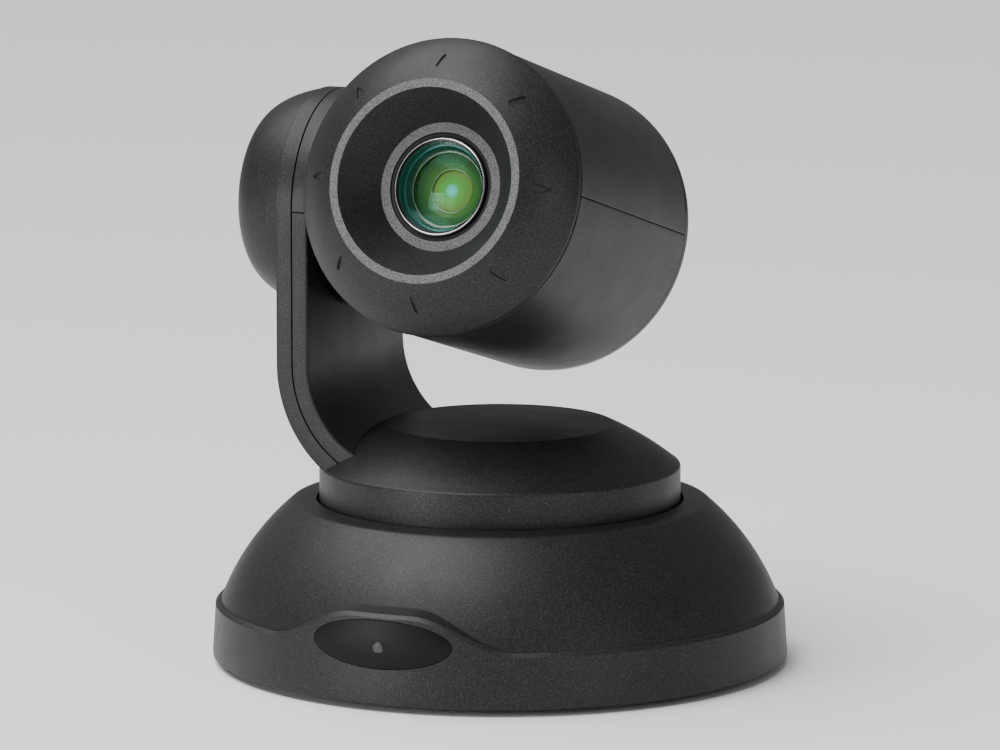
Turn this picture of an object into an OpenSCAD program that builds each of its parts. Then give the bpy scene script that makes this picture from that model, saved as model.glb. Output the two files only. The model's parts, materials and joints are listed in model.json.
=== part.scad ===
// Desktop pan-tilt-zoom camera: a round base, a turntable with one side arm,
// and a drum-shaped camera head that tilts in the arm. Millimetres, +Z up.
// The origin is on the table, on the pan axis. The front is -Y, the arm is on -X.

/* [Base] */
// Outer diameter of the base at its lower edge
base_d = 180; // [150:1:220]
// Height of the rubber feet, which is the gap under the skirt
foot_h = 2; // [1:0.1:4]
// Height of the skirt's top edge above the table
skirt_top = 19.3; // [16:0.1:24]
// How much smaller the skirt's radius is at its top edge
skirt_taper = 1.1; // [0.5:0.1:3]
// Chamfer along the skirt's top edge
skirt_chamfer = 1.2; // [0.6:0.1:2]
// Wall thickness of the moulded covers
wall = 2.2; // [1.6:0.1:3]
// Height of the dome's shoulder, where the level ledge begins
shoulder_z = 50.6; // [42:0.1:62]
// How far the dome bulges out of a straight cone
dome_bulge = 2.5; // [0.5:0.1:5]
// Width of the level ledge around the turntable
ledge_w = 7.3; // [5:0.1:12]

/* [Front window] */
// How far the skirt's edge rises over the window
wave_rise = 10.4; // [8:0.1:13]
// Half angle over which the raised edge is level
wave_flat = 6; // [2:0.5:10]
// Half angle at which the raised edge meets the skirt's edge
wave_reach = 28; // [22:0.5:34]
// Inward rise of the small shelf between the raised edge and the dome
shelf_slope = 12; // [5:1:20]
// Width of the oval window
window_w = 46; // [36:0.5:50]
// Height of the oval window
window_h = 15; // [12:0.5:16]
// Height of the window's centre above the table
window_z = 20.5; // [19:0.1:23]

/* [Turntable] */
// Diameter of the turntable
disc_d = 112.8; // [92:0.1:136]
// Gap between the turntable and the base's recess
disc_gap = 0.8; // [0.5:0.1:1.5]
// Height of the turntable's straight side above the base's ledge
disc_side = 11; // [8:0.1:15]
// Rise of the turntable's sloping top
disc_rise = 12.8; // [10:0.1:16]
// Diameter of the level face on top of the turntable
disc_flat_d = 70.6; // [56:0.1:80]

/* [Arm] */
// Width of the arm, which is also the diameter of its round top
arm_w = 70; // [58:0.5:80]
// Thickness of the arm from its inner to its outer face
arm_t = 11; // [10:0.1:14]
// Radius of the inner face where the arm bends into the turntable
elbow_r = 30.6; // [24:0.1:36]
// Depth of the domed pod on the arm's outer face
pod_depth = 19.4; // [18:0.1:26]
// Width of the seams between the arm's covers
seam = 0.4; // [0.2:0.05:0.8]

/* [Head] */
// Diameter of the head's drum
head_d = 91.2; // [74:0.1:112]
// Distance from the tilt axis back to the head's rear rim
head_back = 44.2; // [38:0.1:52]
// Distance from the tilt axis forward to the front rim
head_front = 45.1; // [40:0.1:54]
// Distance from the tilt axis forward to the crest of the front cone
crest_s = 58; // [52:0.1:66]
// Diameter of the crest
crest_d = 62.6; // [54:0.1:72]
// Gap between the head's swing and the turntable's top
head_clear = 1.5; // [1:0.1:4]
// Gap between the head's drum and the arm's inner face
side_gap = 3.9; // [3:0.1:6]
// Tilt of the head above level, as stored
rest_tilt = 15.3; // [-20:0.1:60]
// Outer diameter of the clamping ring around the front lens
lens_ring_d = 30.8; // [28:0.1:34]
// Diameter of the front lens
lens_d = 23; // [20:0.1:24]

/* [Mechanism] */
// Tooth module of the pan gears
pan_module = 1; // [0.8:0.1:1.1]
// Teeth on the pan gear
pan_teeth = 72; // [60:1:76]
// Teeth on the pan motor's pinion
pan_pinion_teeth = 15; // [13:1:17]
// Tooth module of the tilt gears
tilt_module = 0.6; // [0.55:0.05:0.65]
// Teeth on the tilt gear
tilt_teeth = 34; // [32:1:37]
// Teeth on the tilt motor's pinion
tilt_pinion_teeth = 12; // [11:1:13]
// Diameter of the tilt motor
tilt_motor_d = 23; // [20:0.5:25]
// Outer diameter of the hollow pan shaft
pan_shaft_d = 20; // [16:0.5:24]
// Outer diameter of the hollow tilt shaft
tilt_shaft_d = 13; // [10:0.5:16]
// Radial clearance where a shaft turns in its bearing
run_fit = 0.05; // [0.02:0.01:0.1]
// Radial clearance of the zoom and focus groups in the barrel
slide_fit = 0.1; // [0.05:0.01:0.1]
// Diameter of the tapped hole for a quarter-inch tripod screw
tripod_d = 5.1; // [5:0.05:5.3]
// Diameter of the circle of tapped holes for a wall or ceiling bracket
bracket_pcd = 60; // [48:0.5:76]

/* [Hidden] */
$fn = 96;
eps = 0.01;
touch = 0.02;

// Base, worked out from the driving sizes
base_r = base_d / 2;
disc_r = disc_d / 2;
recess_r = disc_r + disc_gap;
shoulder_r = recess_r + ledge_w;
ledge_z = shoulder_z + 0.4;
recess_depth = 3.4;
recess_z = ledge_z - recess_depth;
floor_z = recess_z - wall;
dome_foot_r = base_r - skirt_taper - skirt_chamfer - 0.5;
lip_r = base_r - skirt_taper - wall - 0.3;
lip_z = skirt_top - 8;
plate_t = 2;
plate_z = foot_h;
plate_top = plate_z + plate_t;
plate_r = base_r - wall - 0.4;
foot_r = 9;
feet_at = base_r - 20;
feet_angles = [45, 135, 225, 315];
post_r = 3.6;
post_at = base_r - 16;
post_angles = [30, 150, 210, 330];
screw_r = 1.5;
tap_r = 1.25;
tap_gap = 0.05;
screw_head_r = 2.8;
insert_r = 5;
insert_h = 9;

// Rear panel, its recess, and the sockets as [centre, width, height]
panel_y = base_r - 12;
panel_t = 2;
panel_w = 82;
panel_top = foot_h + 23.5;
notch_z = plate_top + 0.1;
tray_t = 1.5;
board_gap = 2.4;
board_t = 1.6;
board_z = plate_top + board_gap;
board_top = board_z + board_t;
board_r = base_r - 24;
standoff_r = 3;
socket_depth = 15;
socket_gap = 0.3;
panel_gap = 0.15;
power_socket = [-33, 9, 11];
lan_socket = [-18.5, 16, 13.2];
hdmi_socket = [-1, 15, 6.2];
usb_socket = [15, 12, 11];
serial_socket = [30.5, 14, 13];
sockets = [power_socket, lan_socket, hdmi_socket, usb_socket, serial_socket];

// Window
window_t = 2;
window_gap = 0.15;
receiver_r = 1.85;
receiver_out = 0.6;
receiver_z = window_z - 1;
window_top = window_z + window_h / 2;
dome_foot_in = dome_foot_r - wall - 0.8;
window_share = (window_top - skirt_top) / (shoulder_z - wall - skirt_top);
ir_board_y = dome_foot_in - (dome_foot_in - shoulder_r + 1) * window_share - 2;

// Pan drive
pan_shaft_r = pan_shaft_d / 2;
pan_bore_r = pan_shaft_r - 3.5;
bearing_r = pan_shaft_r + 6;
bearing_h = 5.5;
bearing_z = floor_z - bearing_h;
gear_t = 3;
pan_gear_z = bearing_z - 0.5 - gear_t;
clip_t = 1;
clip_depth = 0.6;
clip_z = pan_gear_z - 0.1 - clip_t;
pan_centres = pan_module * (pan_teeth + pan_pinion_teeth) / 2;
pan_motor_r = 17;
motor_shaft_r = 2.5;
bracket_t = 1.5;
pan_bracket_z = clip_z - 1.4;
pan_motor_h = 18;
hanger_x = 20;
hanger_y = pan_centres + 7;
hanger_r = 3;
hanger_out = norm([hanger_x, hanger_y]) - hanger_r > recess_r + wall;
hanger_top = hanger_out ? shoulder_z - wall : floor_z;

// Turntable
disc_edge_z = ledge_z + disc_side - 0.4;
disc_top_z = disc_edge_z + disc_rise;
disc_bottom_z = recess_z + disc_gap;
disc_flat_r = disc_flat_d / 2;
turn_plate_t = 3;
turn_plate_top = disc_bottom_z + turn_plate_t;
flange_r = pan_shaft_r + 8;
flange_t = 2;

// Head, with distances along its own axis
head_r = head_d / 2;
rim_r = head_r + 0.4;
crest_r = crest_d / 2;
swing_r = max(norm([head_back, head_r]), norm([crest_s, crest_r]), norm([head_front, rim_r]));
tilt_z = disc_top_z + swing_r + head_clear;
groove_w = 0.8;
shell_front = head_front - 1.2 - groove_w;
rear_t = 1.4;
rear_rim = 3.4;
shell_back = -head_back + rear_rim;
half_gap = 0.15;
crest_w = 2.6;
recess_s = head_front + 0.5;
annulus_r = 19.8;
lens_ring_r = lens_ring_d / 2;
gasket_r = lens_ring_r + 1.3;
lens_r = lens_d / 2;
lens_lip = 1.5;
glass_r = lens_ring_r - lens_lip - touch;
glass_seat = recess_s - 2.8;
glass_ball = 2.2 * glass_r;
barrel_front = head_front - 6;
barrel_bore = lens_r + 1;
barrel_r = barrel_bore + 3.2;
barrel_back = -24;
cell_aperture = 6.5;
frame_t = 2;
frame_v = barrel_r;

// Arm, with its elbow centre on the turntable's side
arm_in = head_r + side_gap;
arm_out = arm_in + arm_t;
arm_seam = arm_in + 5.4;
arm_half = arm_w / 2;
elbow_x = elbow_r - arm_in;
elbow_z = disc_top_z + elbow_r - 11;
elbow_seam = elbow_r + arm_seam - arm_in;
elbow_out = elbow_r + arm_t;
bracket_mid = (arm_in + arm_out) / 2;
bracket_half = 24;
elbow_mid = elbow_r + bracket_mid - arm_in;
foot_top = elbow_z - elbow_mid + bracket_t / 2;
rail_in = flange_r + 1;
rail_top = foot_top - bracket_t;
rail_x = [-10, 22];
hub_r = arm_half - 2;
hub_face = arm_in - 0.3;

// Tilt drive
tilt_shaft_r = tilt_shaft_d / 2;
tilt_bore_r = tilt_shaft_r - 2;
tilt_bearing_r = tilt_shaft_r + 4;
tilt_centres = tilt_module * (tilt_teeth + tilt_pinion_teeth) / 2;
tilt_gear_x = bracket_mid + bracket_t / 2 + 1.6;
tilt_plate_x = tilt_gear_x + gear_t + 1;
tilt_motor_x = tilt_plate_x + bracket_t;
tilt_motor_r = tilt_motor_d / 2;
motor_room = pod_room(tilt_centres + tilt_motor_r + 0.4);
tilt_motor_h = motor_room - (tilt_motor_x - arm_out);

// Colours
satin = [0.11, 0.115, 0.125];
gloss = [0.03, 0.03, 0.035];
steel = [0.62, 0.63, 0.65];
brass = [0.75, 0.6, 0.3];
board_green = [0.05, 0.3, 0.16];
rubber = [0.06, 0.06, 0.06];

// A shallow arc of points from a to b, bulging to the right of that line by s
function bow(a, b, s, n = 10) =
    let (d = (b - a) / norm(b - a), side = [d[1], -d[0]])
    [for (i = [0:n]) let (t = i / n) a + t * (b - a) + 4 * s * t * (1 - t) * side];

// Points of an arc about a centre, from one angle to another
function arc(c, r, from, to, n = 16) =
    [for (i = [0:n]) let (a = from + (to - from) * i / n) c + r * [cos(a), sin(a)]];

// Radius of the skirt's slightly tapered outside at a height
function skirt_r(z) = base_r - skirt_taper * (z - foot_h) / (skirt_top - foot_h);

// Depth inside the pod at which its wall closes in to radius r
function pod_room(r) =
    let (inner_r = arm_half - 0.3 - wall, u = pow(1 - pow(r / inner_r, 6.9), 1 / 1.15))
    (pod_depth - wall) * u;

// Share of the wave's full rise at an angle from the front
function wave_share(a) =
    let (t = (abs(a) - wave_flat) / (wave_reach - wave_flat))
    t <= 0 ? 1 : (1 + cos(180 * min(t, 1))) / 2;

// Involute gear outline: a tooth is centred on angle 0
function roll_at(r, rb) = r <= rb ? 0 : sqrt(pow(r / rb, 2) - 1);
function inv_angle(a) = a * 180 / PI - atan(a);
function flank(m, teeth, steps = 3) =
    let (
        rp = m * teeth / 2,
        rb = rp * cos(20),
        lo = roll_at(rp - m, rb),
        hi = roll_at(rp + 0.95 * m, rb),
        half = 90 / teeth - 0.06 * 180 / (PI * rp),
        shift = half + inv_angle(tan(20))
    )
    [for (i = [0:steps]) let (a = lo + (hi - lo) * i / steps) [rb * sqrt(1 + a * a), shift - inv_angle(a)]];

function gear_points(m, teeth) =
    let (f = flank(m, teeth), root = m * teeth / 2 - 1.25 * m, n = len(f))
    [for (k = [0:teeth - 1]) let (mid = 360 * k / teeth) each concat(
        [root * [cos(mid - f[0][1]), sin(mid - f[0][1])]],
        [for (p = f) p[0] * [cos(mid - p[1]), sin(mid - p[1])]],
        [for (i = [n - 1:-1:0]) f[i][0] * [cos(mid + f[i][1]), sin(mid + f[i][1])]],
        [root * [cos(mid + f[0][1]), sin(mid + f[0][1])]]
    )];

module gear(m, teeth, t, bore) {
    difference() {
        linear_extrude(t) polygon(gear_points(m, teeth));
        translate([0, 0, -1]) cylinder(h = t + 2, r = bore);
    }
}

module ring(r_out, r_in, h) {
    difference() {
        cylinder(h = h, r = r_out);
        translate([0, 0, -1]) cylinder(h = h + 2, r = r_in);
    }
}

// Places a child at each angle and radius about the pan axis
module around(angles, r) {
    for (a = angles) rotate(a) translate([r, 0, 0]) children();
}

// Turns a child's Z to the front and its Y to +Z
module facing_front() {
    rotate([90, 0, 0]) children();
}

// Places a child with Z along the lens axis, Y up and X to the right
module on_head() {
    translate([0, 0, tilt_z]) rotate([90 - rest_tilt, 0, 0]) children();
}

// Places a child with Z along -X from the pan axis, on the tilt axis
module on_tilt() {
    translate([0, 0, tilt_z]) rotate([0, -90, 0]) children();
}

// Outline of the base's dome, its ledge and its recess, from outside to inside
module dome_outline() {
    outer = bow([dome_foot_r, skirt_top], [shoulder_r, shoulder_z], dome_bulge);
    inner = bow([dome_foot_in, skirt_top], [shoulder_r - 1, shoulder_z - wall], dome_bulge);
    polygon(concat(
        [[lip_r - wall, lip_z], [lip_r, lip_z], [lip_r, skirt_top]],
        outer,
        [[recess_r, ledge_z], [recess_r, recess_z], [pan_shaft_r + 2, recess_z]],
        [[pan_shaft_r + 2, floor_z], [recess_r + wall, floor_z], [recess_r + wall, shoulder_z - wall]],
        [for (i = [len(inner) - 1:-1:0]) inner[i]]
    ));
}

// The space that the dome fills out to its outer face
module dome_solid() {
    rotate_extrude($fn = 180) polygon(concat(
        [[0, lip_z], [lip_r, lip_z], [lip_r, skirt_top]],
        bow([dome_foot_r, skirt_top], [shoulder_r, shoulder_z], dome_bulge),
        [[0, shoulder_z]]
    ));
}

module skirt_cone(inset, top) {
    translate([0, 0, foot_h])
        cylinder(h = top - foot_h, r1 = base_r - inset, r2 = skirt_r(top) - inset, $fn = 180);
}

// The raised edge over the window, as a prism that rises inward
module wave_prism() {
    top = [for (a = [-wave_reach:2:wave_reach])
        [base_r * sin(a), wave_rise * wave_share(a) - base_r * (1 - cos(a)) * tan(shelf_slope)]];
    half = base_r * sin(wave_reach);
    translate([0, -base_r, skirt_top])
        rotate([90 + shelf_slope, 0, 0])
        translate([0, 0, -24])
        linear_extrude(30)
        polygon(concat([[-half, -6]], top, [[half, -6]]));
}

module window_prism(gap) {
    half_w = window_w / 2 - gap;
    half_h = window_h / 2 - gap;
    translate([0, 0, window_z])
        facing_front()
        linear_extrude(base_r + 5)
        polygon([for (a = [0:7.5:359]) [half_w * cos(a), half_h * sin(a)]]);
}

// The notch in the base that the rear panel fills, above the skirt's lowest band
module rear_notch(gap) {
    translate([gap - panel_w / 2, panel_y - panel_t, notch_z + gap / 2])
        cube([panel_w - 2 * gap, base_r, panel_top - notch_z - 1.5 * gap]);
}

module base_dome() {
    color(satin)
        difference() {
            union() {
                rotate_extrude($fn = 180) dome_outline();
                translate([0, 0, bearing_z]) ring(bearing_r + 2.5, bearing_r, bearing_h);
                around(post_angles, post_at) translate([0, 0, plate_top])
                    cylinder(h = shoulder_z - 17 - plate_top, r = post_r, $fn = 48);
            }
            around(post_angles, post_at) translate([0, 0, plate_top - 1])
                cylinder(h = 14, r = tap_r, $fn = 48);
            rear_notch(0);
            translate([-panel_w / 2, panel_y - socket_depth - 1, 0]) cube([panel_w, base_r, skirt_top]);
            window_prism(-1);
        }
}

module base_skirt() {
    edge_r = base_r - skirt_taper - skirt_chamfer;
    color(satin)
        difference() {
            intersection() {
                skirt_cone(0, skirt_top + wave_rise + 4);
                union() {
                    translate([0, 0, skirt_top - base_r])
                        cylinder(h = base_r, r1 = edge_r + base_r, r2 = edge_r, $fn = 180);
                    wave_prism();
                }
            }
            translate([0, 0, -1]) skirt_cone(wall, skirt_top + 1 + eps);
            dome_solid();
            rear_notch(0);
            window_prism(0);
        }
}

module ir_window() {
    color(gloss)
        difference() {
            intersection() {
                skirt_cone(0, skirt_top + wave_rise + 4);
                window_prism(window_gap);
            }
            skirt_cone(window_t, skirt_top + wave_rise + 5);
        }
}

module ir_receiver() {
    color(steel)
        translate([0, -skirt_r(receiver_z - receiver_r) - receiver_out, receiver_z])
        rotate([-90, 0, 0])
        cylinder(h = receiver_out, r1 = 0.7 * receiver_r, r2 = receiver_r, $fn = 48);
}

module ir_board() {
    color(board_green) {
        translate([-20, -ir_board_y, board_top]) cube([40, board_t, window_top - board_top]);
        translate([-3, -ir_board_y - 6, window_z - 4]) cube([6, 6, 6]);
    }
}

module base_plate() {
    color(steel)
        difference() {
            union() {
                translate([0, 0, plate_z]) cylinder(h = plate_t, r = plate_r);
                translate([0, 0, plate_top]) cylinder(h = 1.6, r = insert_r + 2.5);
            }
            translate([0, 0, plate_z - 1]) cylinder(h = plate_t + 4, r = insert_r);
            around(post_angles, post_at) {
                translate([0, 0, plate_z - 1]) cylinder(h = plate_t + 2, r = screw_r + 0.1, $fn = 48);
                translate([0, 0, plate_z - eps])
                    cylinder(h = 1.3, r1 = screw_head_r + 0.1, r2 = screw_r + 0.1, $fn = 48);
            }
            around([0, 90, 180, 270], bracket_pcd / 2)
                translate([0, 0, plate_z - 1]) cylinder(h = plate_t + 2, r = tap_r, $fn = 48);
        }
}

module rubber_feet() {
    color(rubber) around(feet_angles, feet_at)
        cylinder(h = foot_h, r1 = foot_r - 0.6, r2 = foot_r, $fn = 64);
}

module base_screws() {
    color(steel)
        around(post_angles, post_at) {
            difference() {
                union() {
                    translate([0, 0, plate_z])
                        cylinder(h = 1.3, r1 = screw_head_r, r2 = tap_r - tap_gap, $fn = 48);
                    translate([0, 0, plate_z]) cylinder(h = 10, r = tap_r - tap_gap, $fn = 48);
                }
                translate([0, 0, plate_z - 1]) cylinder(h = 2, r = 1, $fn = 6);
            }
        }
}

module tripod_insert() {
    color(brass)
        difference() {
            union() {
                translate([0, 0, plate_z]) cylinder(h = insert_h, r = insert_r - touch);
                translate([0, 0, plate_top + 1.6]) cylinder(h = 1.2, r = insert_r + 2);
            }
            translate([0, 0, plate_z - 1]) cylinder(h = insert_h, r = tripod_d / 2);
        }
}

// A tray that closes the notch: its rear plate carries the sockets
module rear_panel() {
    color(satin)
        difference() {
            intersection() {
                union() {
                    skirt_cone(0.4, skirt_top);
                    dome_solid();
                }
                rear_notch(panel_gap);
            }
            translate([-panel_w / 2 + wall, panel_y, notch_z + tray_t])
                cube([panel_w - 2 * wall, base_r, panel_top - wall - notch_z - tray_t]);
            for (s = sockets) {
                translate([s[0] - s[1] / 2 - socket_gap, panel_y - panel_t - 1, board_top - eps])
                    cube([s[1] + 2 * socket_gap, panel_t + 2, s[2] + socket_gap]);
            }
        }
}

// Body of a socket, standing on the main board behind the panel
module socket_body(s) {
    translate([s[0] - s[1] / 2, panel_y - socket_depth, board_top]) cube([s[1], socket_depth, s[2]]);
}

// A hollow in a socket's face, centred at a height above the board
module socket_hollow(s, w, h, deep, mid) {
    translate([s[0] - w / 2, panel_y - deep, board_top + mid - h / 2]) cube([w, deep + 1, h]);
}

module power_jack() {
    mid = power_socket[2] / 2;
    color(gloss) {
        difference() {
            socket_body(power_socket);
            translate([power_socket[0], panel_y + 1, board_top + mid])
                facing_front() cylinder(h = 11, r = 2.8, $fn = 48);
        }
        translate([power_socket[0], panel_y - 1, board_top + mid])
            facing_front() cylinder(h = 10, r = 1, $fn = 48);
    }
}

module lan_port() {
    color(steel)
        difference() {
            socket_body(lan_socket);
            socket_hollow(lan_socket, 12, 8.4, 12.5, 7);
        }
}

module hdmi_port() {
    mid = hdmi_socket[2] / 2;
    color(steel) {
        difference() {
            socket_body(hdmi_socket);
            socket_hollow(hdmi_socket, 14, 4.6, 11, mid);
        }
        translate([hdmi_socket[0] - 5.5, panel_y - 11, board_top + mid - 0.6]) cube([11, 9, 1.2]);
    }
}

module usb_port() {
    mid = usb_socket[2] / 2;
    color(steel) {
        difference() {
            socket_body(usb_socket);
            socket_hollow(usb_socket, 8.6, 7.9, 12, mid);
        }
        translate([usb_socket[0] - 2.8, panel_y - 12, board_top + mid - 1.6]) cube([5.6, 10, 3.2]);
    }
}

module serial_port() {
    mid = serial_socket[2] / 2;
    color(gloss) {
        difference() {
            socket_body(serial_socket);
            translate([serial_socket[0], panel_y + 1, board_top + mid])
                facing_front() cylinder(h = 9, r = 4.7, $fn = 48);
        }
        translate([serial_socket[0] - 1.2, panel_y - 8, board_top + mid + 0.8]) cube([2.4, 6.5, 1.6]);
    }
}

module main_board() {
    color(board_green)
        translate([0, 0, board_z])
        difference() {
            union() {
                cylinder(h = board_t, r = board_r);
                translate([-39, 0, 0]) cube([78, panel_y - panel_t - 0.5, board_t]);
                translate([-21, -ir_board_y - 1, 0]) cube([42, ir_board_y, board_t]);
            }
            around([45, 135, 225, 315], board_r - 8) translate([0, 0, -1])
                cylinder(h = board_t + 2, r = 1.6, $fn = 48);
            translate([0, 0, -1]) cylinder(h = board_t + 2, r = insert_r + 3.5);
        }
}

module board_standoffs() {
    color(brass)
        around([45, 135, 225, 315], board_r - 8) {
            translate([0, 0, plate_top]) cylinder(h = board_gap, r = standoff_r, $fn = 6);
            translate([0, 0, board_top]) cylinder(h = 1.6, r = 2.6, $fn = 48);
            translate([0, 0, plate_top]) cylinder(h = board_gap + board_t + eps, r = 1.5, $fn = 48);
        }
}

module pan_bearing() {
    color(steel) translate([0, 0, bearing_z]) ring(bearing_r - touch, pan_shaft_r + run_fit, bearing_h);
}

module thrust_washer() {
    color("ivory") translate([0, 0, recess_z]) ring(pan_shaft_r + 10, pan_shaft_r + 2.5, disc_gap - 0.05);
}

// Plate that hangs the pan motor from the recess floor on two legs
module pan_motor_bracket() {
    color(steel)
        difference() {
            union() {
                translate([-hanger_x - 4, pan_centres - pan_motor_r, pan_bracket_z])
                    cube([2 * hanger_x + 8, 2 * pan_motor_r, bracket_t]);
                for (x = [-hanger_x, hanger_x])
                    translate([x, hanger_y, pan_bracket_z])
                        cylinder(h = hanger_top - pan_bracket_z, r = hanger_r, $fn = 48);
            }
            translate([0, pan_centres, pan_bracket_z - 1]) cylinder(h = bracket_t + 2, r = 6, $fn = 48);
            if (hanger_out)
                rotate_extrude($fn = 180) dome_outline();
        }
}

module pan_motor() {
    color(steel)
        translate([0, pan_centres, pan_bracket_z - pan_motor_h])
        difference() {
            union() {
                cylinder(h = pan_motor_h, r = pan_motor_r);
                translate([0, 0, pan_motor_h]) cylinder(h = bracket_t, r = 5, $fn = 48);
            }
            translate([0, 0, 4]) cylinder(h = pan_motor_h, r = motor_shaft_r + run_fit, $fn = 48);
        }
}

module pan_pinion() {
    color(brass)
        translate([0, pan_centres, 0]) {
            translate([0, 0, pan_gear_z - 0.5])
                rotate(-90 + 180 / pan_pinion_teeth) gear(pan_module, pan_pinion_teeth, gear_t + 1, 1);
            translate([0, 0, pan_bracket_z - 10])
                cylinder(h = pan_gear_z - pan_bracket_z + 12, r = motor_shaft_r, $fn = 48);
        }
}

module turntable_plate() {
    color(steel)
        difference() {
            union() {
                translate([0, 0, disc_bottom_z]) cylinder(h = turn_plate_t, r = disc_r - wall - 0.3);
                for (side = [-1, 1])
                    translate([rail_x[0], side < 0 ? -bracket_half : rail_in, turn_plate_top - eps])
                        cube([rail_x[1] - rail_x[0], bracket_half - rail_in, rail_top - turn_plate_top + eps]);
            }
            translate([0, 0, disc_bottom_z - 1]) cylinder(h = turn_plate_t + 2, r = pan_shaft_r + touch);
            bracket_screw_places() translate([0, 0, -7]) cylinder(h = 8, r = tap_r, $fn = 48);
        }
}

// Where the bracket's foot is screwed to the rails
module bracket_screw_places() {
    for (x = rail_x, y = [-1, 1] * (bracket_half + rail_in) / 2)
        translate([x + (x < 0 ? 5 : -5), y, rail_top]) children();
}

// The turntable's outside, filled
module disc_solid(inset, bottom) {
    rotate_extrude($fn = 180) polygon(concat(
        [[0, bottom], [disc_r - inset, bottom]],
        bow([disc_r - inset, disc_edge_z - inset / 2], [disc_flat_r, disc_top_z - inset], 0.8),
        [[0, disc_top_z - inset]]
    ));
}

// Everything outside the elbow's arc of radius r, on the arm's side
module outside_elbow(r, half, top) {
    difference() {
        translate([-base_r, -half, 0]) cube([base_r + elbow_x + 12, 2 * half, top]);
        translate([elbow_x, half + 1, elbow_z]) rotate([90, 0, 0])
            cylinder(h = 2 * half + 2, r = r, $fn = 180);
        translate([elbow_x - r, -half - 1, elbow_z]) cube([base_r, 2 * half + 2, base_d]);
    }
}

module turntable_cover() {
    color(satin)
        difference() {
            disc_solid(0, disc_bottom_z);
            disc_solid(wall, disc_bottom_z - 1);
            outside_elbow(elbow_r - 0.2, arm_half + 0.25, disc_top_z + 5);
        }
}

module pan_shaft() {
    color(steel)
        difference() {
            union() {
                translate([0, 0, clip_z - 1]) cylinder(h = turn_plate_top - clip_z + 1, r = pan_shaft_r);
                translate([0, 0, turn_plate_top]) cylinder(h = flange_t, r = flange_r);
            }
            translate([0, 0, clip_z - 2]) cylinder(h = turn_plate_top - clip_z + 6, r = pan_bore_r);
            translate([0, 0, clip_z]) ring(pan_shaft_r + 1, pan_shaft_r - clip_depth, clip_t);
            around([45, 135, 225, 315], flange_r - 4)
                translate([0, 0, turn_plate_top - 1]) cylinder(h = flange_t + 2, r = screw_r, $fn = 48);
        }
}

module pan_gear() {
    color("ivory")
        translate([0, 0, pan_gear_z])
        difference() {
            rotate(90) gear(pan_module, pan_teeth, gear_t, pan_shaft_r + touch);
            around([0:60:300], pan_shaft_r + (pan_module * pan_teeth / 2 - pan_shaft_r) / 2)
                translate([0, 0, -1]) cylinder(h = gear_t + 2, r = 6, $fn = 48);
        }
}

module shaft_clip() {
    color(steel)
        translate([0, 0, clip_z + 0.05])
        difference() {
            ring(pan_shaft_r + 1.8, pan_shaft_r - clip_depth + 0.05, clip_t - 0.1);
            translate([0, -3, -1]) cube([pan_shaft_r + 3, 6, clip_t + 2]);
        }
}

// Bent steel bracket: foot, elbow and upright, in the arm's own outline
module arm_bracket() {
    top = tilt_z + tilt_bearing_r + 6;
    half_t = bracket_t / 2;
    color(steel)
        difference() {
            translate([0, bracket_half, 0])
                rotate([90, 0, 0])
                linear_extrude(2 * bracket_half)
                polygon(concat(
                    [[rail_x[1], rail_top], [rail_x[1], foot_top]],
                    arc([elbow_x, elbow_z], elbow_mid - half_t, 270, 180),
                    [[-bracket_mid + half_t, top], [-bracket_mid - half_t, top]],
                    arc([elbow_x, elbow_z], elbow_mid + half_t, 180, 270)
                ));
            on_tilt() cylinder(h = arm_out, r = tilt_bearing_r + touch);
            difference() {
                translate([-arm_out, -base_r, tilt_z]) cube([arm_t, base_d, base_r]);
                on_tilt() cylinder(h = arm_out + 1, r = arm_half - wall - 1);
            }
            bracket_screw_places() translate([0, 0, -1])
                cylinder(h = bracket_t + 2, r = screw_r, $fn = 48);
        }
}

module bracket_screws() {
    color(steel)
        bracket_screw_places() {
            translate([0, 0, -6]) cylinder(h = 6 + bracket_t, r = tap_r - tap_gap, $fn = 48);
            difference() {
                translate([0, 0, bracket_t]) cylinder(h = 2, r = screw_head_r, $fn = 48);
                translate([0, 0, bracket_t + 1]) cylinder(h = 2, r = 1.2, $fn = 6);
            }
        }
}

// The elbow and the upright, filled from the outline of radius r in to the elbow's centre
module arm_fill(r, half, top) {
    intersection() {
        translate([elbow_x, half, elbow_z]) rotate([90, 0, 0]) cylinder(h = 2 * half, r = r, $fn = 180);
        translate([elbow_x - base_r, -base_r, elbow_z - base_r]) cube([base_r, base_d, base_r]);
    }
    translate([elbow_x - r, -half, elbow_z]) cube([r, 2 * half, top - elbow_z]);
}

// A slab of the arm in its outline: from the elbow arc r_in out to r_out
module arm_slab(r_in, r_out, half, top) {
    difference() {
        arm_fill(r_out, half, top);
        arm_fill(r_in, half + 1, top + 1);
    }
}

// The round top of the arm, between two distances from the pan axis
module arm_round(from, to, r) {
    translate([0, 0, tilt_z]) rotate([0, -90, 0]) translate([0, 0, from])
        cylinder(h = to - from, r = r, $fn = 180);
}

module arm_inner_cover() {
    top = tilt_z - seam / 2;
    r_seam = elbow_seam - seam / 2;
    color(satin)
        difference() {
            arm_slab(elbow_r, r_seam, arm_half, top);
            arm_slab(elbow_r + wall, r_seam + 1, arm_half - wall, top + 1);
            on_tilt() cylinder(h = arm_out, r = tilt_bearing_r + 0.6);
            translate([-base_r, -base_r, 0]) cube([base_d, base_d, disc_edge_z + 0.5]);
        }
}

module arm_inner_cap() {
    color(satin)
        difference() {
            arm_round(arm_in, arm_seam - seam / 2, arm_half);
            arm_round(arm_in + wall, arm_out, arm_half - wall);
            on_tilt() cylinder(h = arm_out, r = tilt_bearing_r + 0.6);
            translate([-base_r - 20, -base_r, 0]) cube([base_d, base_d, tilt_z + seam / 2]);
        }
}

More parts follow.
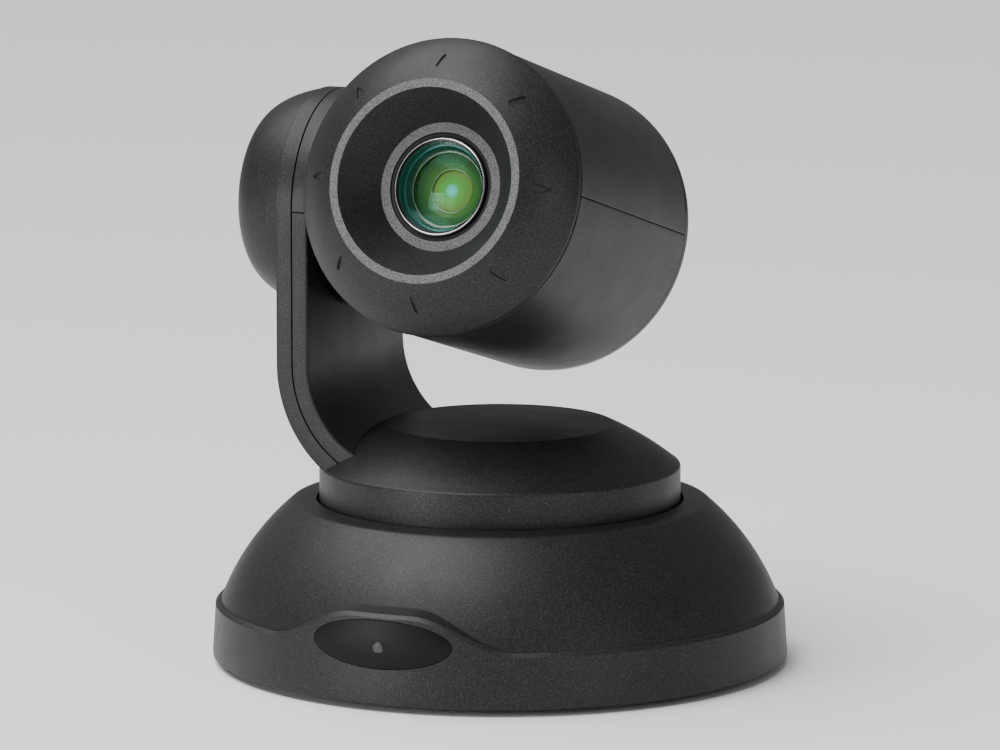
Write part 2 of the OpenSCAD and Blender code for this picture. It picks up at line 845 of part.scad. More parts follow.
// Domed end of the pod: a squarish curve from the rim to a nearly flat face
function pod_outline(r, depth, n = 16) =
    [for (i = [0:n]) let (u = sin(84 * i / n)) [r * pow(1 - pow(u, 1.15), 1 / 6.9), depth * u / sin(84)]];

module pod_solid(inset) {
    translate([0, 0, tilt_z])
        rotate([0, -90, 0])
        translate([0, 0, arm_out - eps])
        rotate_extrude($fn = 180)
        polygon(concat([[0, 0]], pod_outline(arm_half - 0.3 - inset, pod_depth - inset), [[0, pod_depth - inset]]));
}

module arm_outer_cover() {
    skirt_end = elbow_z - 10;
    color(satin)
        difference() {
            union() {
                arm_fill(elbow_out, arm_half, tilt_z);
                arm_round(arm_seam + seam / 2, arm_out, arm_half);
                pod_solid(0);
                intersection() {
                    translate([0, 0, disc_bottom_z])
                        cylinder(h = skirt_end - disc_bottom_z, r = disc_r, $fn = 180);
                    translate([-base_r, -arm_half, 0]) cube([base_r + elbow_x, arm_w, base_r]);
                }
            }
            arm_fill(elbow_seam + seam / 2, arm_half + 1, tilt_z + arm_w);
            translate([elbow_x - 8, -base_r, 0]) cube([base_r, base_d, base_d]);
            arm_slab(elbow_seam - 2, elbow_out - wall, arm_half - wall, tilt_z);
            arm_round(arm_in, arm_out - eps, arm_half - wall);
            pod_solid(wall);
            intersection() {
                cylinder(h = skirt_end - wall, r = disc_r - wall, $fn = 180);
                translate([-base_r, wall - arm_half, 0]) cube([base_r, arm_w - 2 * wall, base_r]);
            }
            cylinder(h = disc_edge_z, r = disc_r - wall, $fn = 180);
        }
}

module tilt_bearing() {
    color(steel) on_tilt() translate([0, 0, arm_in + 0.5])
        ring(tilt_bearing_r, tilt_shaft_r + run_fit, tilt_gear_x - arm_in - 1.5);
}

// Plate behind the tilt gear that carries the tilt motor, on two spacers
module tilt_motor_plate() {
    spacer = [17, 11];
    color(steel)
        on_tilt()
        difference() {
            union() {
                intersection() {
                    translate([-tilt_centres - tilt_motor_r, -22, tilt_plate_x])
                        cube([tilt_centres + tilt_motor_r + 20, 44, bracket_t]);
                    cylinder(h = base_d, r = arm_half - wall - 0.8);
                }
                for (y = [-spacer[0], spacer[0]])
                    translate([spacer[1], y, bracket_mid + bracket_t / 2])
                        cylinder(h = tilt_plate_x - bracket_mid - bracket_t / 2 + eps, r = 1.4, $fn = 48);
            }
            translate([-tilt_centres, 0, tilt_plate_x - 1]) cylinder(h = bracket_t + 2, r = 4, $fn = 48);
            translate([0, 0, tilt_plate_x - 1])
                cylinder(h = bracket_t + 2, r = tilt_shaft_r - 1, $fn = 48);
        }
}

module tilt_motor() {
    color(steel)
        on_tilt()
        translate([-tilt_centres, 0, tilt_motor_x])
        difference() {
            cylinder(h = tilt_motor_h, r = tilt_motor_r);
            translate([0, 0, -1]) cylinder(h = 1 + 0.7 * tilt_motor_h, r = 1.5 + run_fit, $fn = 48);
        }
}

module tilt_pinion() {
    color(brass)
        on_tilt()
        translate([-tilt_centres, 0, 0]) {
            translate([0, 0, tilt_gear_x - 0.5])
                rotate(180 / tilt_pinion_teeth) gear(tilt_module, tilt_pinion_teeth, gear_t + 1, 1);
            translate([0, 0, tilt_gear_x])
                cylinder(h = tilt_motor_x - tilt_gear_x + tilt_motor_h / 2, r = 1.5, $fn = 48);
        }
}

// Half of the head's drum: side is 1 above the lens axis, -1 below
module head_shell(side) {
    on_head()
        difference() {
            translate([0, 0, shell_back])
                ring(head_r, head_r - wall, shell_front - shell_back, $fn = 180);
            translate([-base_r, side > 0 ? half_gap / 2 - base_r : -half_gap / 2, -base_r])
                cube([base_d, base_r, base_d]);
            rotate([0, -90, 0]) cylinder(h = base_r, r = tilt_shaft_r + 0.3);
        }
}

module head_upper_shell() {
    color(satin) head_shell(1);
}

module head_lower_shell() {
    color(satin) head_shell(-1);
}

module head_bezel() {
    lip = 1.2;
    color(satin)
        on_head()
        difference() {
            rotate_extrude($fn = 180) polygon(concat(
                [[crest_r - crest_w, crest_s], [crest_r - crest_w - 2, crest_s - 4]],
                [[head_r - wall - 0.2, shell_front - 4], [head_r - wall - 0.2, head_front - lip]],
                arc([rim_r - lip, head_front], lip, 270, 360, 4),
                bow([rim_r - 0.3, head_front + 0.9], [crest_r, crest_s], 1.2)
            ));
            translate([0, 0, shell_front - 6]) cylinder(h = 5, r = head_r - 2 * wall);
        }
}

module bezel_recess() {
    color(satin)
        on_head()
        rotate_extrude($fn = 180)
        polygon([
            [gasket_r, recess_s],
            [annulus_r, recess_s],
            [crest_r - crest_w - touch, crest_s],
            [crest_r - crest_w - 2, crest_s - 4],
            [annulus_r + 1.6, recess_s - 2],
            [gasket_r, recess_s - 2]
        ]);
}

module head_rear_cover() {
    color(gloss)
        on_head()
        difference() {
            union() {
                translate([0, 0, -head_back]) cylinder(h = rear_t, r = head_r, $fn = 180);
                translate([0, 0, -head_back]) ring(head_r, head_r - 2 * wall, rear_rim);
                translate([0, 0, -head_back]) ring(head_r - wall - 0.2, head_r - 2 * wall, rear_rim + 2);
            }
            around([45:90:315], head_r - 10) translate([0, 0, -head_back - 1])
                cylinder(h = 4, r = tap_r, $fn = 48);
        }
}

module rear_screws() {
    color(steel)
        on_head()
        around([45:90:315], head_r - 10)
        difference() {
            union() {
                translate([0, 0, -head_back - 0.6]) cylinder(h = 0.6, r = 2.2, $fn = 48);
                translate([0, 0, -head_back - 0.1]) cylinder(h = 7, r = tap_r - tap_gap, $fn = 48);
            }
            translate([0, 0, -head_back - 1]) cylinder(h = 0.8, r = 0.9, $fn = 6);
        }
}

module tilt_hub() {
    color(gloss)
        difference() {
            on_tilt() translate([0, 0, head_r - 14])
                ring(hub_r, tilt_shaft_r + touch, hub_face - head_r + 14);
            on_head() translate([0, 0, -base_r]) cylinder(h = base_d, r = head_r + touch, $fn = 180);
        }
}

module tilt_shaft() {
    inner = head_r - wall - 4;
    color(steel)
        on_tilt() {
            difference() {
                union() {
                    translate([0, 0, inner - 2])
                        cylinder(h = tilt_plate_x - 0.6 - inner + 2, r = tilt_shaft_r);
                    translate([0, 0, inner - 2]) cylinder(h = 2, r = tilt_shaft_r + 4);
                }
                translate([0, 0, inner - 3]) cylinder(h = tilt_plate_x - inner + 6, r = tilt_bore_r);
            }
        }
}

module tilt_gear() {
    color("ivory")
        on_tilt() translate([0, 0, tilt_gear_x]) rotate(180)
            gear(tilt_module, tilt_teeth, gear_t, tilt_shaft_r + touch);
}

// Bent plate inside the head: one wall on the tilt shaft, one floor under the barrel
module camera_frame() {
    wall_x = head_r - wall - 6;
    color(steel)
        on_head()
        difference() {
            union() {
                translate([-wall_x, -frame_v - frame_t, -20]) cube([frame_t, 2 * frame_v, 40]);
                translate([-wall_x, -frame_v - frame_t, -20]) cube([wall_x + barrel_r, frame_t, 40]);
            }
            rotate([0, -90, 0]) cylinder(h = base_r, r = tilt_bore_r);
        }
}

// The barrel, with the fixed cell that holds the second element near its front
module lens_barrel() {
    color(gloss)
        on_head() {
            translate([0, 0, barrel_back])
                ring(barrel_r - touch, barrel_bore, barrel_front - barrel_back);
            rotate_extrude($fn = 180)
                polygon([
                    [barrel_bore + 1, barrel_front - 4],
                    [cell_aperture, barrel_front - 4],
                    [cell_aperture, barrel_front - 3],
                    [lens_r - 1, barrel_front - 0.6],
                    [barrel_bore + 1, barrel_front - 0.6]
                ]);
        }
}

module lens_gasket() {
    color(rubber)
        on_head() translate([0, 0, recess_s - 2.2]) ring(gasket_r - touch, lens_ring_r + touch, 1.8);
}

module lens_ring() {
    color(steel)
        on_head()
        rotate_extrude($fn = 180)
        polygon([
            [lens_ring_r, recess_s - 3],
            [lens_ring_r, recess_s + 0.6],
            [lens_ring_r - 0.4, recess_s + 1],
            [lens_ring_r - 1.1, recess_s + 1],
            [lens_ring_r - lens_lip, recess_s + 0.6],
            [lens_ring_r - lens_lip, recess_s - 3]
        ]);
}

module lens_retainer() {
    color(gloss)
        on_head()
        rotate_extrude($fn = 180)
        polygon([
            [lens_r, barrel_front],
            [barrel_r - touch, barrel_front],
            [barrel_r - touch, recess_s - 3],
            [glass_r - 0.6, recess_s - 3],
            [lens_r, barrel_front + 1]
        ]);
}

// Bulging front element, hollow behind, held by its edge in the lens ring
module front_lens() {
    lift = sqrt(glass_ball * glass_ball - glass_r * glass_r);
    color([0.5, 0.75, 0.75, 0.5])
        on_head()
        intersection() {
            translate([0, 0, glass_seat]) cylinder(h = glass_r, r = glass_r, $fn = 96);
            translate([0, 0, glass_seat + 0.6 - lift])
                difference() {
                    sphere(r = glass_ball, $fn = 180);
                    sphere(r = glass_ball - 2, $fn = 180);
                }
        }
}

// A lens cell that slides in the barrel: its ring and the glass in it are one piece
module lens_group(at, length, aperture) {
    on_head()
        translate([0, 0, at])
        difference() {
            cylinder(h = length, r = barrel_bore - slide_fit);
            translate([0, 0, length - 1.6]) cylinder(h = 3, r1 = aperture, r2 = aperture + 3);
            translate([0, 0, -1]) cylinder(h = 2.4, r = aperture);
        }
}

module zoom_group() {
    color(gloss) lens_group(16, 8, cell_aperture);
}

module focus_group() {
    color(gloss) lens_group(-12, 6, 6);
}

module sensor_board() {
    color(board_green)
        on_head() {
            translate([-barrel_r, -barrel_r, barrel_back - 2])
                cube([2 * barrel_r, 2 * barrel_r, board_t + 0.4]);
            translate([-5, -4, barrel_back - eps]) cube([10, 8, 1.2]);
        }
}

base_dome();
base_skirt();
ir_window();
ir_receiver();
ir_board();
base_plate();
rubber_feet();
base_screws();
tripod_insert();
rear_panel();
power_jack();
lan_port();
hdmi_port();
usb_port();
serial_port();
main_board();
board_standoffs();
pan_bearing();
thrust_washer();
pan_motor_bracket();
pan_motor();
pan_pinion();
turntable_plate();
turntable_cover();
pan_shaft();
pan_gear();
shaft_clip();
arm_bracket();
bracket_screws();
arm_inner_cover();
arm_inner_cap();
arm_outer_cover();
tilt_bearing();
tilt_motor_plate();
tilt_motor();
tilt_pinion();
head_upper_shell();
head_lower_shell();
head_bezel();
bezel_recess();
head_rear_cover();
rear_screws();
tilt_hub();
tilt_shaft();
tilt_gear();
camera_frame();
lens_barrel();
lens_gasket();
lens_ring();
lens_retainer();
front_lens();
zoom_group();
focus_group();
sensor_board();
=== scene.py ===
"""A desktop pan-tilt-zoom camera, dressed piece by piece in the order it is put together."""
import json
from math import atan2, cos, degrees, hypot, pi, radians, sin, sqrt, tan

import bpy
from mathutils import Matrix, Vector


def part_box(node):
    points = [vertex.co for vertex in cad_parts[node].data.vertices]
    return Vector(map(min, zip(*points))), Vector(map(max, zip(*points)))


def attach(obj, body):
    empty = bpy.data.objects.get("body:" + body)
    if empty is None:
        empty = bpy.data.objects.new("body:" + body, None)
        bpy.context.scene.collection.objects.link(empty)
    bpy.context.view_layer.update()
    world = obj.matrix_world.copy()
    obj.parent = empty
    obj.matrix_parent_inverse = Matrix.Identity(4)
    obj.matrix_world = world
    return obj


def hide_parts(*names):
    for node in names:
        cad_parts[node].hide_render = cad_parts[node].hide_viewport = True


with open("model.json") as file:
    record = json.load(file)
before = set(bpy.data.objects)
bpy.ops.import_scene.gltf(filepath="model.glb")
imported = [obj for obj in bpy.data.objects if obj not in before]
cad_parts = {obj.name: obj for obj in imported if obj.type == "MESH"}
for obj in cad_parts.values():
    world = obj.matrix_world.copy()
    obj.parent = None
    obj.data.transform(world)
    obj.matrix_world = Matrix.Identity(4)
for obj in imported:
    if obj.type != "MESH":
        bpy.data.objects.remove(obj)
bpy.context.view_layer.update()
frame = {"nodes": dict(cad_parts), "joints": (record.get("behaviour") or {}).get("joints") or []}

MM = 0.001
joints = {joint["name"]: joint for joint in frame["joints"]}


# ---------------------------------------------------------------- Base plate
# A die-cast plate closes the base from below. It is painted black, and its rim shows as a
# thin dark line under the skirt. Four screws go up through it into posts in the dome.

def free_selection():
    """Leaves edit mode and lets go of everything."""
    if bpy.context.object and bpy.context.object.mode != "OBJECT":
        bpy.ops.object.mode_set(mode="OBJECT")
    bpy.ops.object.select_all(action="DESELECT")


def pick(piece):
    free_selection()
    piece.select_set(True)
    bpy.context.view_layer.objects.active = piece


def softened(corners, steps=5):
    """Points of an outline whose corners (radius, height, rounding) are rounded off."""
    points = []
    for i, (x, z, rounding) in enumerate(corners):
        if not rounding:
            points.append((x, z))
            continue
        before, after = corners[i - 1], corners[(i + 1) % len(corners)]
        ends = []
        for other in (before, after):
            reach = hypot(other[0] - x, other[1] - z)
            share = min(rounding / reach, 0.48)
            ends.append((x + (other[0] - x) * share, z + (other[1] - z) * share))
        for k in range(steps + 1):
            t = k / steps
            a, b, c = (1 - t) ** 2, 2 * t * (1 - t), t * t
            points.append((a * ends[0][0] + b * x + c * ends[1][0],
                           a * ends[0][1] + b * z + c * ends[1][1]))
    return points


def turned(name, outline, sides=240):
    """A turned piece about Z: one ring, extruded along a closed outline of (radius, height) in mm.

    An outline that reaches the axis has two points there, side by side. The ring then starts at
    their neighbour and grows both ways, because a ring scaled up from the axis loses precision.
    """
    axis = [i for i, (r, z) in enumerate(outline) if r < 0.01]
    over_axis = len(axis) == 2
    if over_axis and axis[1] == axis[0] + 1:
        outline = outline[axis[1]:] + outline[:axis[1]]
    first = outline[1 if over_axis else 0]
    free_selection()
    bpy.ops.mesh.primitive_circle_add(vertices=sides, radius=first[0] * MM,
                                      location=(0, 0, first[1] * MM))
    piece = bpy.context.object
    piece.name = name
    bpy.ops.object.transform_apply(location=True, rotation=True, scale=True)

    def grow(path):
        radius, height = first
        for r, z in path:
            bpy.ops.mesh.extrude_region_move(
                TRANSFORM_OT_translate={"value": (0, 0, (z - height) * MM)})
            scale = max(r, 0.0005) / radius
            bpy.ops.transform.resize(value=(scale, scale, 1), center_override=(0, 0, z * MM))
            radius, height = max(r, 0.0005), z

    bpy.ops.object.mode_set(mode="EDIT")
    bpy.ops.mesh.select_all(action="SELECT")
    if over_axis:
        grow(outline[:1])
        bpy.ops.mesh.select_all(action="DESELECT")
        bpy.ops.object.mode_set(mode="OBJECT")
        for vertex in piece.data.vertices:
            vertex.select = hypot(vertex.co.x, vertex.co.y) > 0.01 * MM
        bpy.ops.object.mode_set(mode="EDIT")
        grow(outline[2:])
    else:
        grow([*outline[1:], outline[0]])
    tidy_mesh()
    return piece


def tidy_mesh():
    """In edit mode: merges what meets, turns all faces outward, and goes back to object mode."""
    bpy.ops.mesh.select_all(action="SELECT")
    bpy.ops.mesh.remove_doubles(threshold=0.003 * MM)
    bpy.ops.mesh.delete_loose()
    bpy.ops.mesh.select_all(action="SELECT")
    bpy.ops.mesh.normals_make_consistent(inside=False)
    bpy.ops.mesh.select_all(action="DESELECT")
    bpy.ops.object.mode_set(mode="OBJECT")


def smooth(piece, angle=32):
    pick(piece)
    bpy.ops.object.shade_smooth_by_angle(angle=radians(angle))
    free_selection()


def placed(piece, location=(0, 0, 0), turn=(0, 0, 0)):
    """Turns and moves a piece, in degrees and mm, and leaves that place in its mesh."""
    pick(piece)
    piece.rotation_euler = [radians(a) for a in turn]
    piece.location = [c * MM for c in location]
    bpy.ops.object.transform_apply(location=True, rotation=True, scale=True)
    return piece


def with_modifier(piece, kind, **settings):
    pick(piece)
    modifier = piece.modifiers.new(kind.lower(), kind)
    for key, value in settings.items():
        setattr(modifier, key, value)
    bpy.ops.object.modifier_apply(modifier=modifier.name)
    return piece


def cut(piece, *cutters, how="DIFFERENCE"):
    """Cuts pieces out of a piece, or welds them on, and takes the cutters away."""
    for cutter in cutters:
        with_modifier(piece, "BOOLEAN", operation=how, object=cutter, solver="EXACT")
        bpy.data.objects.remove(cutter, do_unlink=True)
    return piece


def block(name, low, high):
    """A rectangular block between two corners in mm."""
    free_selection()
    size = [(b - a) * MM for a, b in zip(low, high)]
    middle = [(a + b) / 2 * MM for a, b in zip(low, high)]
    bpy.ops.mesh.primitive_cube_add(size=1, location=middle, scale=size)
    bpy.ops.object.transform_apply(location=True, rotation=True, scale=True)
    bpy.context.object.name = name
    return bpy.context.object


def rod(name, radius, start, end, axis="Z", centre=(0, 0), sides=96):
    """A round rod in mm along an axis, at a centre in the other two directions."""
    free_selection()
    bpy.ops.mesh.primitive_cylinder_add(vertices=sides, radius=radius * MM, depth=(end - start) * MM)
    piece = bpy.context.object
    piece.name = name
    middle = (start + end) / 2
    if axis == "Z":
        return placed(piece, (centre[0], centre[1], middle))
    if axis == "Y":
        return placed(piece, (centre[0], middle, centre[1]), (90, 0, 0))
    return placed(piece, (middle, centre[0], centre[1]), (0, 90, 0))


def joined(name, pieces):
    pick(pieces[0])
    for piece in pieces:
        piece.select_set(True)
    if len(pieces) > 1:
        bpy.ops.object.join()
    pieces[0].name = name
    return pieces[0]


def grained(name, colour, fleck, size_mm, roughness, metallic=0.0, bump=0.1,
            spread=(0.45, 0.75), uneven=0.06, **shader):
    """A finish with fine flecks of a second colour, uneven gloss and a slight grain."""
    material = bpy.data.materials.new(name)
    material.use_nodes = True
    nodes, links = material.node_tree.nodes, material.node_tree.links
    surface = nodes["Principled BSDF"]
    surface.inputs["Metallic"].default_value = metallic
    for key, value in shader.items():
        surface.inputs[key.replace("_", " ")].default_value = value
    place = nodes.new("ShaderNodeTexCoord")
    grain = nodes.new("ShaderNodeTexNoise")
    grain.inputs["Scale"].default_value = 1 / (size_mm * MM)
    grain.inputs["Detail"].default_value = 2.5
    grain.inputs["Roughness"].default_value = 0.65
    links.new(place.outputs["Object"], grain.inputs["Vector"])
    ramp = nodes.new("ShaderNodeValToRGB")
    ramp.color_ramp.elements[0].position, ramp.color_ramp.elements[1].position = spread
    ramp.color_ramp.elements[0].color = (*colour, 1)
    ramp.color_ramp.elements[1].color = (*fleck, 1)
    links.new(grain.outputs["Fac"], ramp.inputs["Fac"])
    links.new(ramp.outputs["Color"], surface.inputs["Base Color"])
    cloud = nodes.new("ShaderNodeTexNoise")
    cloud.inputs["Scale"].default_value = 1 / (12 * MM)
    cloud.inputs["Detail"].default_value = 4
    links.new(place.outputs["Object"], cloud.inputs["Vector"])
    gloss = nodes.new("ShaderNodeMapRange")
    gloss.inputs["From Min"].default_value, gloss.inputs["From Max"].default_value = 0.3, 0.7
    gloss.inputs["To Min"].default_value = roughness - uneven
    gloss.inputs["To Max"].default_value = roughness + uneven
    links.new(cloud.outputs["Fac"], gloss.inputs["Value"])
    links.new(gloss.outputs["Result"], surface.inputs["Roughness"])
    relief = nodes.new("ShaderNodeBump")
    relief.inputs["Strength"].default_value = bump
    relief.inputs["Distance"].default_value = 0.05 * MM
    links.new(grain.outputs["Fac"], relief.inputs["Height"])
    links.new(relief.outputs["Normal"], surface.inputs["Normal"])
    return material


def finish(piece, body, slot, material, *nodes):
    """Gives a new piece its finish, hangs it on the body it rides on, and hides the nodes it stands for."""
    piece.data.materials.clear()
    piece.data.materials.append(material)
    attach(piece, body)
    if nodes:
        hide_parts(*nodes)
    return piece


def paint(material, *nodes):
    """Gives pieces that keep the frame's own shape their finish."""
    for node in nodes:
        piece = frame["nodes"][node]
        piece.data.materials.clear()
        piece.data.materials.append(material)


zinc = grained("zinc_plate", (0.50, 0.51, 0.53), (0.66, 0.66, 0.66), 0.5, 0.34,
               metallic=1.0, bump=0.12)
plate_paint = grained("base_plate_paint", (0.012, 0.012, 0.013), (0.03, 0.03, 0.032), 0.3, 0.55,
                      bump=0.3)
paint(plate_paint, "base_plate")
paint(zinc, "base_screws")


# ---------------------------------------------------------------- Rubber feet
# Four moulded rubber pads, glued into the plate near its rim, with a rounded edge and a
# shallow dish in the middle that grips the table.

foot_r = 9
dish_r, dish_depth = 6.6, 0.3
foot_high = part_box("rubber_feet")[1]
foot_at = (foot_high[0] / MM) - foot_r
foot_top = foot_high[2] / MM
rubber = grained("black_rubber", (0.011, 0.011, 0.011), (0.026, 0.026, 0.026), 0.25, 0.82,
                 bump=0.35)
feet = []
for x in (-foot_at, foot_at):
    for y in (-foot_at, foot_at):
        pad = turned("foot", softened([
            (0.01, foot_top, 0), (foot_r, foot_top, 0), (foot_r - 0.1, 0, 0.5), (dish_r + 0.6, 0, 0.3),
            (dish_r, dish_depth, 0.3), (0.01, dish_depth, 0)]), sides=64)
        feet.append(placed(pad, (x, y, 0)))
feet = joined("rubber_feet_pads", feet)
smooth(feet)
finish(feet, "base", "rubber", rubber, "rubber_feet")


# ---------------------------------------------------------------- Tripod insert
# A turned brass insert, pressed into the plate, takes the stand's screw. The standoffs under
# the main board are turned from the same brass.

brass = grained("turned_brass", (0.56, 0.42, 0.17), (0.72, 0.56, 0.28), 0.4, 0.28,
                metallic=1.0, bump=0.1)
paint(brass, "tripod_insert", "board_standoffs")


# ---------------------------------------------------------------- Dome
# The base's upper cover, moulded in black plastic and sprayed a charcoal satin with a fine
# fleck. It rises in a shallow bow to a level ledge, with the turntable in a recess inside it,
# and the base plate's four screws go up into its posts.

base_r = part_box("base_skirt")[1][0] / MM
wall = 2.2
skirt_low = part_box("base_skirt")[0][2] / MM
skirt_top = 19.3
skirt_taper = 1.1
edge_chamfer = 1.2
disc_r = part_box("turntable_cover")[1][0] / MM
recess_r = disc_r + 0.8
shoulder = (recess_r + 7.3, 50.6)
ledge_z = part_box("base_dome")[1][2] / MM
recess_z = ledge_z - 3.4
dome_foot = (base_r - skirt_taper - edge_chamfer - 0.5, skirt_top)
dome_bulge = 2.5
shaft_hole_r = 12
post_circle, post_r, post_bore_r = 74, 3.6, 1.25
post_low, post_high = 4, 34


def bowed(start, end, bulge, steps=24):
    """Points from start to end, standing out to the right of the straight line between them."""
    (x0, z0), (x1, z1) = start, end
    length = hypot(x1 - x0, z1 - z0)
    side = ((z1 - z0) / length, -(x1 - x0) / length)
    points = []
    for i in range(steps + 1):
        t = i / steps
        out = 4 * bulge * t * (1 - t)
        points.append((x0 + (x1 - x0) * t + side[0] * out, z0 + (z1 - z0) * t + side[1] * out))
    return points


def dome_radius(z):
    """Radius of the dome's outside at a height in mm."""
    line = bowed(dome_foot, shoulder, dome_bulge)
    for (r0, z0), (r1, z1) in zip(line, line[1:]):
        if z0 <= z <= z1:
            return r0 + (r1 - r0) * (z - z0) / (z1 - z0)
    return dome_foot[0]


def rear_notch(name):
    """The opening at the back for the sockets."""
    low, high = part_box("rear_panel")
    return block(name, (low[0] / MM - 0.15, low[1] / MM - 0.01, low[2] / MM - 0.1),
                 (-low[0] / MM + 0.15, base_r + 5, high[2] / MM + 0.15))


window_z = 20.5
window_half = (23.0, 7.5)


def oval_prism(name, grow):
    """An oval bar along Y through the front of the base, grown all round by some mm."""
    near, far = 60, base_r + 5
    free_selection()
    bpy.ops.mesh.primitive_cylinder_add(vertices=160, radius=1, depth=1)
    bar = bpy.context.object
    bar.name = name
    bar.scale = ((window_half[0] + grow) * MM, (window_half[1] + grow) * MM, (far - near) * MM)
    bar.rotation_euler = (radians(90), 0, 0)
    bar.location = (0, -(far + near) / 2 * MM, window_z * MM)
    bpy.ops.object.transform_apply(location=True, rotation=True, scale=True)
    return bar


satin_paint = grained("charcoal_satin", (0.0050, 0.0051, 0.0056), (0.050, 0.051, 0.055), 0.36, 0.45,
                      bump=0.22, spread=(0.50, 0.72), uneven=0.03, Specular_IOR_Level=0.33)

outer_line = bowed(dome_foot, shoulder, dome_bulge)
inner_line = bowed((dome_foot[0] - wall - 0.8, skirt_top), (shoulder[0] - 1, shoulder[1] - wall),
                   dome_bulge)
lip_r = base_r - skirt_taper - wall - 0.3
lip_z = skirt_top - 8
ledge_line = softened([(*outer_line[-2], 0), (*shoulder, 3.2), (recess_r, ledge_z, 0.35),
                       (recess_r, recess_z, 0), (shaft_hole_r, recess_z, 0)])
dome = turned("dome_cover", [
    (lip_r - wall, lip_z), (lip_r, lip_z), (lip_r, skirt_top), *outer_line[:-1], *ledge_line[1:],
    (shaft_hole_r, recess_z - wall), (recess_r + wall, recess_z - wall),
    (recess_r + wall, shoulder[1] - wall), *inner_line[::-1][1:]], sides=288)
socket_half, socket_front = 41, 62
cut(dome, rear_notch("notch"),
    block("socket_room", (-socket_half, socket_front, 0), (socket_half, base_r, skirt_top)),
    oval_prism("window_room", 1))
posts = []
for angle in (30, 150, 210, 330):
    post = turned("post", [(post_r, post_low), (post_r, post_high), (post_bore_r, post_high),
                           (post_bore_r, post_low)], sides=32)
    x, y = post_circle * cos(radians(angle)), post_circle * sin(radians(angle))
    posts.append(placed(post, (x, y, 0)))
dome = joined("dome_cover", [dome, *posts])
smooth(dome)
finish(dome, "base", "satin_paint", satin_paint, "base_dome")


# ---------------------------------------------------------------- Skirt
# A separate moulded band round the base, in the same satin paint. Its chamfered top edge
# rises in a smooth wave over the window, and a sloping shelf runs from there to the dome.

wave_rise, wave_flat, wave_reach = 10.4, 6, 28
shelf_slope = radians(12)


def skirt_radius(z):
    return base_r - skirt_taper * (z - skirt_low) / (skirt_top - skirt_low)


def wave(angle):
    """Rise of the skirt's edge, in mm, at an angle in degrees from the front."""
    t = (abs(angle) - wave_flat) / (wave_reach - wave_flat)
    share = 1 if t <= 0 else (1 + cos(pi * min(t, 1))) / 2
    return wave_rise * share


def skirt_section(angle):
    """The skirt's cross-section (radius, height) at an angle from the front."""
    edge_z = skirt_top + wave(angle)
    edge_r = skirt_radius(edge_z)
    shelf_r, shelf_z = dome_foot[0] - 0.05, edge_z
    for _ in range(4):
        shelf_width = max(edge_r - edge_chamfer - shelf_r, 0)
        shelf_z = edge_z + shelf_width * tan(shelf_slope) * min(wave(angle) / 4, 1)
        shelf_r = dome_radius(shelf_z) - 0.05
    c = edge_chamfer
    return [
        (base_r - wall, skirt_low + 0.1), (base_r - 1.0, skirt_low), (base_r - 0.45, skirt_low + 0.08),
        (base_r - 0.1, skirt_low + 0.4), (skirt_radius(skirt_low + 0.9), skirt_low + 0.9),
        (skirt_radius(9), 9), (skirt_radius(edge_z - c - 2), edge_z - c - 2),
        (skirt_radius(edge_z - c), edge_z - c), (edge_r - 0.10, edge_z - c + 0.16),
        (edge_r - c + 0.18, edge_z - 0.12), (edge_r - c, edge_z - 0.02), (edge_r - c - 0.15, edge_z),
        (shelf_r, shelf_z), (shelf_r, shelf_z - 1.5),
        (min(shelf_r, edge_r - wall), edge_z - 2.2), (edge_r - wall, edge_z - 3), (base_r - wall, 9)]


# Each ring is first turned at a height of its own, then takes its place in the section.
section_count = len(skirt_section(0))
skirt = turned("skirt_band", [(base_r - 10 + k * 0.2, k) for k in range(section_count)], sides=360)
for vertex in skirt.data.vertices:
    k = round(vertex.co.z / MM)
    angle = degrees(atan2(vertex.co.x, -vertex.co.y))
    r, z = skirt_section(angle)[k]
    vertex.co = (r * MM * sin(radians(angle)), -r * MM * cos(radians(angle)), z * MM)
pick(skirt)
bpy.ops.object.mode_set(mode="EDIT")
tidy_mesh()
cut(skirt, rear_notch("notch"), oval_prism("window_hole", 0))
smooth(skirt, 28)
finish(skirt, "base", "satin_paint", satin_paint, "base_skirt")


# ---------------------------------------------------------------- Window
# An oval of infrared-pass plastic, almost black and smoother than the paint. It is moulded
# to the skirt's curve and snapped in from behind, so a hairline gap runs round it.

ir_plastic = grained("infrared_plastic", (0.0045, 0.0038, 0.0042), (0.006, 0.005, 0.0055), 1.5, 0.42,
                     bump=0.02, uneven=0.04, Specular_IOR_Level=0.16)
pane_t = 2
window = turned("window_pane", [
    (skirt_radius(z) - depth, z)
    for z, depth in ((8, pane_t), (8, 0), (20, 0), (33, 0), (33, pane_t))], sides=720)
cut(window, oval_prism("pane_shape", -0.2), how="INTERSECT")
with_modifier(window, "BEVEL", width=0.25 * MM, segments=2, limit_method="ANGLE", angle_limit=radians(50))
smooth(window, 28)
finish(window, "base", "ir_filter", ir_plastic, "ir_window")


# ---------------------------------------------------------------- Status lens
# A small light pipe of dark clear plastic, flat at its foot and round at its top. It is
# pushed through the window from behind and stands just proud of it.

pipe_grey = grained("light_pipe", (0.028, 0.028, 0.033), (0.04, 0.04, 0.045), 0.6, 0.42, bump=0.05)
pip_z = window_z - 1.0
pip_out = 0.62
pip = turned("status_pip", softened([
    (0.001, 0, 0), (1.75, 0, 0), (1.85, 0.3, 0.2), (1.2, pip_out, 0.5), (0.001, pip_out, 0)]), sides=48)
cut(pip, block("flat", (-3, -3, -1), (3, -1.35, 1)))
placed(pip, (0, -skirt_radius(pip_z) + 0.05, pip_z), (90, 0, 0))
smooth(pip, 40)
finish(pip, "base", "zinc_steel", pipe_grey, "ir_receiver")


